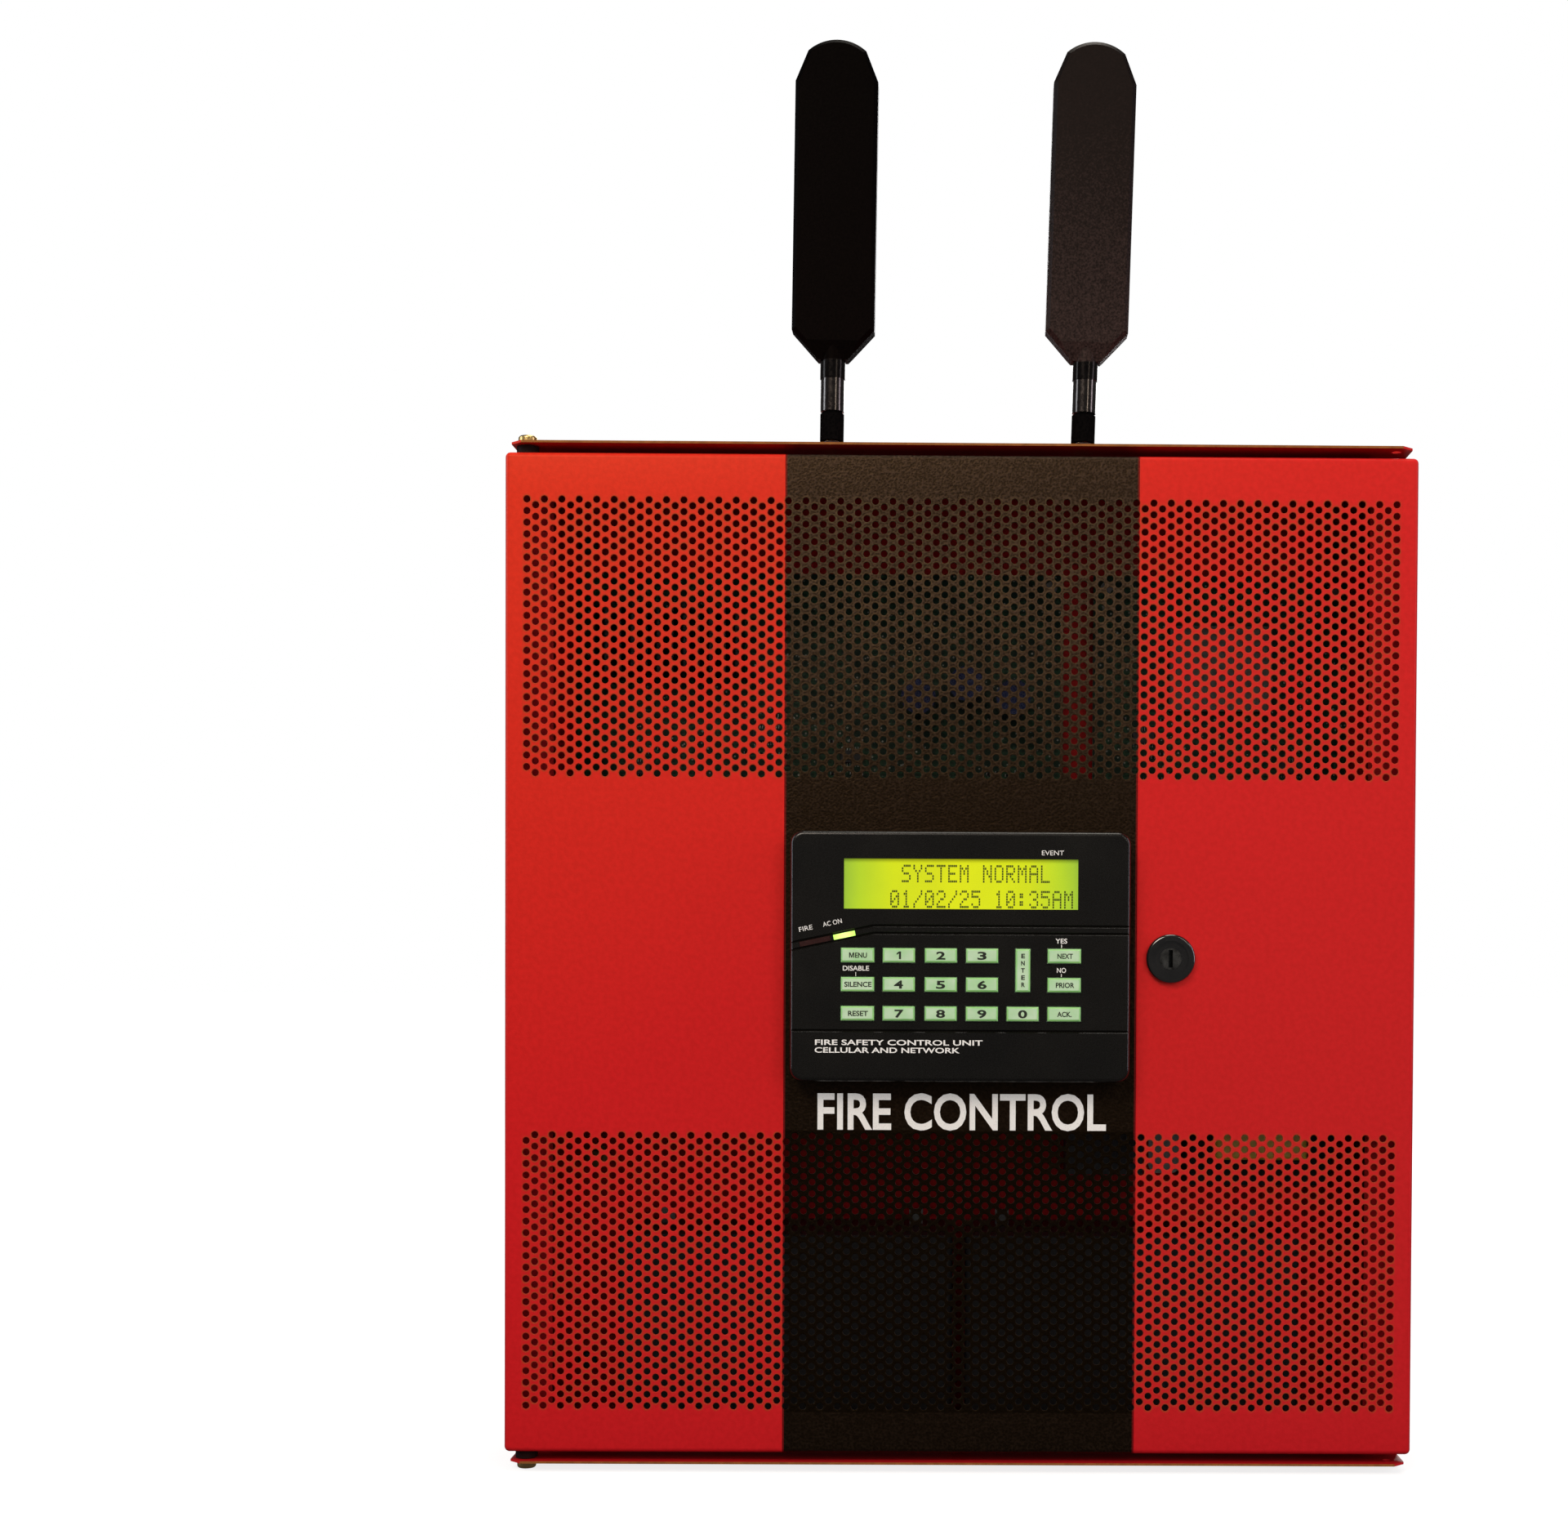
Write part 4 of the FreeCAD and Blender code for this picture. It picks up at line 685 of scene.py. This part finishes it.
def pan_holes():
    """The lock's hole, the keypad's four screw holes and the two bushing holes."""
    lock = middle_of("lock_housing")
    holes = [(Vector((lock.x, DOOR_FRONT, lock.z)), Vector((0, 1, 0)), LOCK_HOLE_RADIUS, FACE_DRILL)]
    low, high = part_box("keypad_screws")
    head = SCREW_HEAD_RADIUS
    for x in (low.x + head, high.x - head):
        for z in (low.z + head, high.z - head):
            holes.append((Vector((x, DOOR_FRONT, z)), Vector((0, 1, 0)), SCREW_HOLE_RADIUS, FACE_DRILL))
    hinge = middle_of("hinge_bushings")
    for z in (DOOR_LOW.z, DOOR_HIGH.z):
        holes.append((Vector((hinge.x, hinge.y, z)), Vector((0, 0, 1)), BUSHING_RADIUS, FLANGE_DRILL))
    return holes


def bend_profile(inset, radius):
    """One side of the bent sheet, from the flange's end round the bend: how far in, and its y."""
    profile = [(inset, DOOR_HIGH.y)]
    for k in range(BEND_STEPS + 1):
        turn = math.pi / 2 * k / BEND_STEPS
        profile.append((BEND - radius * math.cos(turn), DOOR_FRONT + BEND - radius * math.sin(turn)))
    return profile


def door_pan():
    """The unpunched part of the door: the face around the two fields, the bends and the flanges."""
    half_x, half_z = DOOR_HIGH.x, DOOR_HIGH.z
    keypad = middle_of("keypad_front_housing")
    left, right = -WIRING_HALF_WIDTH, WIRING_HALF_WIDTH
    bottom, top = keypad.z - WIRING_HALF_HEIGHT, keypad.z + WIRING_HALF_HEIGHT
    cuts_x = [-half_x + BEND, -FIELD_HALF, left, right, FIELD_HALF, half_x - BEND]
    cuts_z = [-half_z + BEND, -FIELD_HIGH, -FIELD_LOW, bottom, top, FIELD_LOW, FIELD_HIGH, half_z - BEND]
    points, faces = [], []

    def ring(inset, y):
        radius = max(BEND - inset, 0.0)
        edges = ([(half_x - inset, y, z) for z in cuts_z[1:-1]],
                 [(x, y, half_z - inset) for x in reversed(cuts_x[1:-1])],
                 [(inset - half_x, y, z) for z in reversed(cuts_z[1:-1])],
                 [(x, y, inset - half_z) for x in cuts_x[1:-1]])
        made = []
        for quarter, (sx, sz) in enumerate(((1, -1), (1, 1), (-1, 1), (-1, -1))):
            centre = Vector((sx * (half_x - BEND), 0, sz * (half_z - BEND)))
            start = -math.pi / 2 + quarter * math.pi / 2
            for k in range(CORNER_STEPS + 1):
                turn = start + math.pi / 2 * k / CORNER_STEPS
                made.append((centre.x + radius * math.cos(turn), y, centre.z + radius * math.sin(turn)))
            made += edges[quarter]
        return made

    def sweep(profile):
        first = len(points)
        loops = [ring(inset, y) for inset, y in profile]
        points.extend(point for loop in loops for point in loop)
        bridge(faces, first, len(loops[0]), len(loops))
        return first, len(loops[0])

    outer, count = sweep(bend_profile(0.0, BEND))
    inner, _ = sweep(bend_profile(SHEET, BEND - SHEET))
    for k in range(count):
        faces.append((outer + k, outer + (k + 1) % count, inner + (k + 1) % count, inner + k))

    def opened(i, j):
        between_sides = cuts_x[i] >= -FIELD_HALF and cuts_x[i + 1] <= FIELD_HALF
        in_field = between_sides and cuts_z[j] in (-FIELD_HIGH, FIELD_LOW)
        behind_keypad = cuts_x[i] == left and cuts_z[j] == bottom
        return in_field or behind_keypad

    def patch(corners):
        faces.append(tuple(range(len(points), len(points) + 4)))
        points.extend(corners)

    for i in range(len(cuts_x) - 1):
        for j in range(len(cuts_z) - 1):
            if opened(i, j):
                continue
            square = [(cuts_x[i], cuts_z[j]), (cuts_x[i + 1], cuts_z[j]),
                      (cuts_x[i + 1], cuts_z[j + 1]), (cuts_x[i], cuts_z[j + 1])]
            for y in (DOOR_FRONT, DOOR_FRONT + SHEET):
                patch([(x, y, z) for x, z in square])
            for side, (di, dj) in enumerate(((0, -1), (1, 0), (0, 1), (-1, 0))):
                ni, nj = i + di, j + dj
                if 0 <= ni < len(cuts_x) - 1 and 0 <= nj < len(cuts_z) - 1 and opened(ni, nj):
                    (xa, za), (xb, zb) = square[side], square[(side + 1) % 4]
                    patch([(xa, DOOR_FRONT, za), (xb, DOOR_FRONT, zb),
                           (xb, DOOR_FRONT + SHEET, zb), (xa, DOOR_FRONT + SHEET, za)])
    mesh = drilled(mesh_of("door_pan", points, faces, tidy=True), pan_holes())
    piece = finished("door_pan", mesh, DOOR_COAT, "door")
    # only faces that lie along an axis stay flat
    for polygon in mesh.polygons:
        polygon.use_smooth = max(abs(n) for n in polygon.normal) < 0.99999
    mesh.set_sharp_from_angle(angle=math.radians(40))
    return piece


door = door_pan()
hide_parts("door_panel")
FIELD_PARTS = {"left": range(-HALF_COLUMNS, -STRIPE_COLUMNS),
               "stripe": range(-STRIPE_COLUMNS, STRIPE_COLUMNS + 1),
               "right": range(STRIPE_COLUMNS + 1, HALF_COLUMNS + 1)}
for field, sign in (("upper", 1), ("lower", -1)):
    for part, columns in FIELD_PARTS.items():
        perforated_sheet(f"door_{field}_{part}_field", columns, sign)


# -------- plugs in the four wall holes
def hole_plugs():
    """Black plastic plugs that stand in for shade in the four wall holes, so that no light shows through
    them: a domed head inside the back wall and a stem that ends flush with its outside.
    """
    dims = next(m for m in frame["record"]["mounts"] if m["name"] == "wall_holes")["dims"]
    half_x, half_z = dims["spacing_x_mm"] * MM / 2, dims["spacing_y_mm"] * MM / 2
    profile = [(0.0, -2.2 * MM), (2.4 * MM, -2.0 * MM), (4.2 * MM, -1.2 * MM), (4.6 * MM, -0.1 * MM),
               (3.2 * MM, 0.0), (3.2 * MM, WALL), (0.0, WALL)]
    sides = 24
    points, faces = [], []
    for sx in (-1, 1):
        for sz in (-1, 1):
            first = len(points)
            for radius, depth in profile:
                ring = circle(sx * half_x, sz * half_z, radius, sides)
                points.extend([(x, depth - WALL, z) for x, z in ring])
            bridge(faces, first, sides, len(profile))
    mesh = mesh_of("wall_hole_plugs", points, faces, tidy=True)
    finished("wall_hole_plugs", mesh, LOOKS["black_matte_plastic"], "cabinet",
             smooth_below=50)


hole_plugs()


# -------- small parts on the circuit boards
CHIP_RISE = 2.0 * MM
LEG_PITCH = 1.27 * MM
# the chips on each board: x, z, width, height (millimetres) and the legs on each long side
CHIPS = {
    "main_circuit_board": [
        (-122, 52, 19.0, 9.0, 14), (-82, 54, 10.5, 6.0, 8), (-52, 94, 10.5, 6.0, 8),
        (-18, 58, 23.5, 12.0, 18), (22, 78, 10.5, 6.0, 8), (-152, 88, 10.5, 6.0, 8),
        (-92, 104, 13.0, 6.0, 10), (16, 22, 13.0, 6.0, 10), (-32, 14, 10.5, 6.0, 8)],
    "communicator_board": [
        (94, 72, 18.0, 12.0, 14), (134, 60, 10.5, 6.0, 8), (156, 90, 13.0, 6.0, 10),
        (86, 104, 10.5, 6.0, 8)],
}


def stack(points, faces, x, z, front, levels):
    """Adds a solid of rectangles one above the other: half width, half height, rise off the front."""
    corners = ((-1, -1), (1, -1), (1, 1), (-1, 1))
    add_solid(points, faces, [[(x + sx * half_x, front - rise, z + sz * half_z) for sx, sz in corners]
                              for half_x, half_z, rise in levels])


def leg(points, faces, x, z, front, way):
    """Adds one gull-wing leg that leaves a chip's side and bends down to its pad."""
    half, thick = 0.2 * MM, 0.18 * MM
    line = [(-0.3 * MM, 1.0 * MM), (0.5 * MM, 1.0 * MM), (0.9 * MM, 0.02 * MM), (1.7 * MM, 0.02 * MM)]
    ring = line + [(out, rise + thick) for out, rise in reversed(line)]
    add_solid(points, faces, [[(x + side, front - rise, z + way * out) for out, rise in ring]
                              for side in (-half, half)])


def board_parts():
    """Chips with their legs, and the small chip resistors and capacitors around each of them."""
    chance = random.Random(11)
    chips, legs, bodies, ends = ([], []), ([], []), ([], []), ([], [])
    for board, x, z, width, height, count in ((board, *chip) for board in CHIPS for chip in CHIPS[board]):
        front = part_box(board)[0].y
        x, z, half_x, half_z = x * MM, z * MM, width * MM / 2, height * MM / 2
        stack(*chips, x, z, front, [(half_x - 0.3 * MM, half_z - 0.3 * MM, 0.2 * MM),
                                    (half_x, half_z, CHIP_RISE / 2),
                                    (half_x - 0.15 * MM, half_z - 0.15 * MM, CHIP_RISE - 0.15 * MM),
                                    (half_x - 0.35 * MM, half_z - 0.35 * MM, CHIP_RISE)])
        for k in range(count):
            for way in (-1, 1):
                leg(*legs, x + (k - (count - 1) / 2) * LEG_PITCH, z + way * half_z, front, way)
        for k in range(10):
            way = 1 if k % 2 else -1
            px = x + (k // 2 - 2) * 4.6 * MM + chance.uniform(-0.6, 0.6) * MM
            pz = z + way * (half_z + (4.2 + chance.uniform(0.0, 2.4)) * MM)
            rise = chance.choice((0.55, 0.9)) * MM
            stack(*bodies, px, pz, front, [(0.75 * MM, 0.6 * MM, 0.0), (0.75 * MM, 0.6 * MM, rise)])
            for side in (-1, 1):
                stack(*ends, px + side * 0.85 * MM, pz, front,
                      [(0.22 * MM, 0.66 * MM, 0.0), (0.22 * MM, 0.66 * MM, rise + 0.03 * MM),
                       (0.16 * MM, 0.6 * MM, rise + 0.07 * MM)])
    made = {"board_chips": (chips, "black_matte_plastic"), "board_chip_legs": (legs, "zinc_steel"),
            "board_chip_resistors": (bodies, "black_gloss_plastic"),
            "board_resistor_ends": (ends, "zinc_steel")}
    for name, ((points, faces), slot) in made.items():
        finished(name, mesh_of(name, points, faces), LOOKS[slot], "cabinet")


board_parts()


# -------- printing on the keypad and the door
INK = 0.03 * MM


def lettering(text, size, at, look, name, body, slot, width=None, weight=0.0, slant=0.0, align="CENTER"):
    """Raised ink letters that face the front. at is the middle (or left end) of the baseline."""
    font = bpy.data.curves.new(name, "FONT")
    font.body = text
    font.size = size
    font.align_x = align
    font.offset = weight
    font.extrude = INK / 2
    font.resolution_u = 4
    holder = bpy.data.objects.new(name + "_letters", font)
    bpy.context.scene.collection.objects.link(holder)
    bpy.context.view_layer.update()
    mesh = bpy.data.meshes.new_from_object(holder.evaluated_get(bpy.context.evaluated_depsgraph_get()))
    natural = max(v.co.x for v in mesh.vertices) - min(v.co.x for v in mesh.vertices)
    stretch = width / natural if width else 1.0
    upright = Matrix.Rotation(math.pi / 2, 4, "X") @ Matrix.Diagonal((stretch, 1.0, 1.0, 1.0))
    mesh.transform(Matrix.Translation(at) @ Matrix.Rotation(-slant, 4, "Y") @ upright)
    bpy.data.objects.remove(holder)
    bpy.data.curves.remove(font)
    mesh.name = name
    return finished(name, mesh, look, body)


def on_keypad(x, z):
    """A place on the keypad's face, from millimetres in the part's frame."""
    return Vector((x * MM, KEYPAD_FRONT - INK / 2, z * MM))


def white(name, text, size, x, z, **more):
    return lettering(text, size * MM, on_keypad(x, z), WHITE_INK, name, "door", "black_gloss_plastic", **more)


LIGHT_SLANT = math.radians(12.5)
white("label_fire", "FIRE", 2.9, -65.9, 10.6, slant=LIGHT_SLANT, width=5.8 * MM)
white("label_power", "AC ON", 2.9, -54.4, 13.1, slant=LIGHT_SLANT, width=8.2 * MM)
white("label_event", "EVENT", 2.9, 39.2, 43.3, width=9.4 * MM)
white("label_yes", "YES", 2.9, 43.2, 5.7, weight=0.04 * MM, width=5.0 * MM)
white("label_no", "NO", 2.9, 43.2, -6.8, weight=0.04 * MM, width=3.9 * MM)
white("label_disable", "DISABLE", 2.9, -44.6, -6.3, weight=0.04 * MM, width=11.2 * MM)
white("label_title_1", "FIRE SAFETY CONTROL UNIT", 3.2, -62.2, -38.1, align="LEFT", weight=0.06 * MM,
      width=71.6 * MM)
white("label_title_2", "CELLULAR AND NETWORK", 3.2, -62.2, -41.4, align="LEFT", weight=0.06 * MM,
      width=62.0 * MM)
lettering("FIRE CONTROL", 21.8 * MM, Vector((0.4 * MM, DOOR_FRONT - INK / 2, -74.9 * MM)), WHITE_INK,
          "door_title", "door", "black_gloss_plastic", weight=0.45 * MM, width=125.0 * MM)


def printed(name, outline, at, look, body):
    """A raised ink shape with straight sides: its outline in millimetres, drawn round the place `at`."""
    points, faces = [], []
    add_solid(points, faces, [[(at.x + x * MM, at.y + shift, at.z + z * MM) for x, z in outline]
                              for shift in (-INK / 2, INK / 2)])
    return finished(name, mesh_of(name, points, faces), look, body)


# short lines between a label and its key
for name, x, low, high in (("yes", 43.2, 3.7, 5.2), ("no", 43.2, -8.7, -7.3), ("disable", -44.6, -8.7, -7.0)):
    bar = [(-0.14, low), (0.14, low), (0.14, high), (-0.14, high)]
    printed(f"tick_{name}", bar, on_keypad(x, 0), WHITE_INK, "door")

# what is printed on each word key: the letters, their width and how far right of the middle they sit
KEY_WORDS = {"menu": ("ENU", 5.1, 1.45), "next": ("NEXT", 6.6, 0.2), "silence": ("SILENCE", 11.6, 0.2),
             "prior": ("PRIOR", 7.9, 0.2), "reset": ("RESET", 8.5, 0.2), "acknowledge": ("ACK.", 6.2, 0.2)}


def key_face(key):
    """The middle of a key's front face."""
    low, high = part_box(f"key_{key}")
    return Vector(((low.x + high.x) / 2, low.y - INK / 2, (low.z + high.z) / 2))


ONE = [(0.05, -1.65), (0.95, -1.65), (0.95, 1.65), (0.15, 1.65), (-0.95, 0.85), (-0.95, 0.15), (0.05, 0.75)]
printed("legend_1", ONE, key_face("1"), DARK_INK, "button_1")
for digit in "234567890":
    middle = key_face(digit)
    lettering(digit, 4.6 * MM, middle - Vector((0, 0, 1.65 * MM)), DARK_INK, f"legend_{digit}",
              f"button_{digit}", "key_green", weight=0.14 * MM, width=3.9 * MM)
# the outline of the bold M that stands before ENU
LETTER_M = [(-1.1, -1.14), (-0.66, -1.14), (-0.66, 0.3), (-0.17, -1.14), (0.17, -1.14), (0.66, 0.3),
            (0.66, -1.14), (1.1, -1.14), (1.1, 1.1), (0.5, 1.1), (0.0, -0.45), (-0.5, 1.1), (-1.1, 1.1)]
printed("legend_menu_m", LETTER_M, key_face("menu") - Vector((2.5 * MM, 0, 0)), DARK_INK, "button_menu")
for key, (letters, width, shift) in KEY_WORDS.items():
    lettering(letters, 3.0 * MM, key_face(key) + Vector((shift * MM, 0, -1.1 * MM)), DARK_INK,
              f"legend_{key}", f"button_{key}", "key_green", weight=0.08 * MM, width=width * MM)
middle = key_face("enter")
for k, letter in enumerate("ENTER"):
    lettering(letter, 2.6 * MM, middle + Vector((0, 0, (6.2 - 3.07 * k - 0.95) * MM)), DARK_INK,
              f"legend_enter_{k}", "button_enter", "key_green", weight=0.10 * MM, width=1.6 * MM)


# -------- the display's dot characters
# five by seven dots each, row by row from the top
DOTS = {
    "S": "01111 10000 10000 01110 00001 00001 11110",
    "Y": "10001 10001 01010 00100 00100 00100 00100",
    "T": "11111 00100 00100 00100 00100 00100 00100",
    "E": "11111 10000 10000 11110 10000 10000 11111",
    "M": "10001 11011 10101 10101 10001 10001 10001",
    "N": "10001 11001 10101 10101 10011 10001 10001",
    "O": "01110 10001 10001 10001 10001 10001 01110",
    "R": "11110 10001 10001 11110 10100 10010 10001",
    "A": "01110 10001 10001 11111 10001 10001 10001",
    "L": "10000 10000 10000 10000 10000 10000 11111",
    "0": "01110 10001 10011 10101 11001 10001 01110",
    "1": "00100 01100 00100 00100 00100 00100 01110",
    "2": "01110 10001 00001 00110 01000 10000 11111",
    "3": "01110 10001 00001 00110 00001 10001 01110",
    "5": "11111 10000 11110 00001 00001 10001 01110",
    "/": "00001 00001 00010 00100 01000 10000 10000",
    ":": "00000 01100 01100 00000 01100 01100 00000",
    " ": "00000 " * 7,
}
CHARACTER_PITCH = 4.96 * MM
DOT_X, DOT_Z = 0.78 * MM, 1.10 * MM
DOT_SHARE = 0.84


def display_line(name, text, left, bottom):
    """One line of the display: a thin raised block for every dark dot."""
    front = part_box("lcd_module")[0].y
    half_x, half_z = DOT_X * DOT_SHARE / 2, DOT_Z * DOT_SHARE / 2
    points, faces = [], []
    for place, character in enumerate(text):
        for row, bits in enumerate(DOTS[character].split()):
            for column, bit in enumerate(bits):
                if bit == "1":
                    x = left + place * CHARACTER_PITCH + column * DOT_X + half_x
                    z = bottom + (6 - row) * DOT_Z + half_z
                    stack(points, faces, x, z, front,
                          [(half_x, half_z, 0.02 * MM), (half_x, half_z, 0.12 * MM)])
    return finished(name, mesh_of(name, points, faces), CHARACTER_DARK, "door")


display_line("display_line_1", "SYSTEM NORMAL", -25.2 * MM, 31.5 * MM)
display_line("display_line_2", "01/02/25 10:35AM", -30.1 * MM, 20.6 * MM)


# -------- stage, lights and camera
def stage_floor():
    """A plain pale floor. It brightens with distance, so that it runs into the white surroundings."""
    look = Look("studio_floor", Roughness=0.9, Specular_IOR_Level=0.0)
    look.set(Base_Color=look.ramp(look.noise(0.3, 2.0), [(0.3, 0.27), (0.7, 0.30)]))
    away = look.node("ShaderNodeVectorMath", {0: look.place}, operation="LENGTH").outputs["Value"]
    look.set(Emission_Color=look.ramp(look.span(away, 0.35, 1.1), [(0.0, 0.80), (1.0, 1.0)]))
    look.set(Emission_Strength=1.0)
    reach, z = 12.0, CAD_LOW.z - 0.2 * MM
    mesh = bpy.data.meshes.new("studio_floor")
    mesh.from_pydata([(-reach, -reach, z), (reach, -reach, z), (reach, reach, z), (-reach, reach, z)], [],
                     [(0, 1, 2, 3)])
    mesh.materials.append(look.material)
    floor = bpy.data.objects.new("studio_floor", mesh)
    bpy.context.scene.collection.objects.link(floor)
    floor.visible_diffuse = floor.visible_glossy = False
    floor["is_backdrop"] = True


def softbox(name, at, towards, width, height, power, colour, reflected=True):
    """A rectangular lamp, in metres and watts. reflected says whether shiny faces mirror it."""
    light = bpy.data.lights.new(name, "AREA")
    light.shape = "RECTANGLE"
    light.size, light.size_y = width, height
    light.energy, light.color = power, colour
    holder = bpy.data.objects.new(name, light)
    holder.location = at
    holder.rotation_euler = (Vector(towards) - Vector(at)).to_track_quat("-Z", "Y").to_euler()
    holder.visible_glossy = reflected
    bpy.context.scene.collection.objects.link(holder)


def surroundings():
    """Plain white where the camera looks past the object, and a soft dim room for everything else."""
    world = bpy.data.worlds.new("studio")
    world.use_nodes = True
    nodes, links = world.node_tree.nodes, world.node_tree.links
    nodes.clear()
    path = nodes.new("ShaderNodeLightPath")
    choose = nodes.new("ShaderNodeMixShader")
    out = nodes.new("ShaderNodeOutputWorld")
    links.new(path.outputs["Is Camera Ray"], choose.inputs["Fac"])
    room, seen = ((1.0, 0.98, 0.97, 1.0), 0.10), ((1.0, 1.0, 1.0, 1.0), 1.0)
    for k, (colour, strength) in enumerate((room, seen), start=1):
        background = nodes.new("ShaderNodeBackground")
        background.inputs["Color"].default_value = colour
        background.inputs["Strength"].default_value = strength
        links.new(background.outputs["Background"], choose.inputs[k])
    links.new(choose.outputs["Shader"], out.inputs["Surface"])
    bpy.context.scene.world = world


def add_camera():
    """Level with the door's middle and one metre in front of it, with a slight turn, tilt and roll."""
    distance = 1.0
    turn, tilt, roll = (math.radians(a) for a in (0.459, 1.160, 0.302))
    camera = bpy.data.cameras.new("camera")
    camera.lens, camera.sensor_width = 53.06, 36.0
    camera.shift_x, camera.shift_y = -0.1241, 0.156
    camera.clip_start, camera.clip_end = 0.02, 50.0
    holder = bpy.data.objects.new("camera", camera)
    aim = (Matrix.Rotation(-turn, 4, "Z") @ Matrix.Rotation(math.pi / 2 - tilt, 4, "X")
           @ Matrix.Rotation(roll, 4, "Z"))
    holder.matrix_world = Matrix.Translation((0.0, DOOR_FRONT - distance, 0.0)) @ aim
    bpy.context.scene.collection.objects.link(holder)
    bpy.context.scene.camera = holder


stage_floor()
surroundings()
DOOR_MIDDLE = (0.0, DOOR_FRONT, 0.0)
softbox("key_light", (-0.55, -1.55, 1.15), DOOR_MIDDLE, 0.8, 0.6, 19.0, (1.0, 0.87, 0.75))
softbox("front_fill", (0.5, -2.0, 0.2), DOOR_MIDDLE, 1.6, 1.4, 25.0, (1.0, 0.96, 0.96), reflected=False)
softbox("front_right_strip", (0.85, -1.35, 0.9), (0.0, -0.1, 0.2), 0.12, 0.9, 3.0, (1.0, 0.90, 0.75))
softbox("left_strip", (-1.5, -0.25, 0.5), (0.0, -0.08, 0.1), 0.4, 1.2, 9.0, (0.80, 0.90, 1.0))
softbox("right_strip", (1.5, -0.45, 0.4), (0.0, -0.08, 0.1), 0.25, 1.2, 6.0, (0.94, 0.88, 1.0))
softbox("top_light", (0.1, -0.05, 1.5), (0.0, -0.08, 0.0), 1.0, 0.6, 13.0, (1.0, 0.95, 0.86))
softbox("back_light", (0.2, 1.6, 0.9), (0.0, 0.0, 0.0), 1.2, 1.0, 22.0, (1.0, 1.0, 1.0))
add_camera()
bpy.context.scene.view_settings.view_transform = "Standard"

low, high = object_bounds()
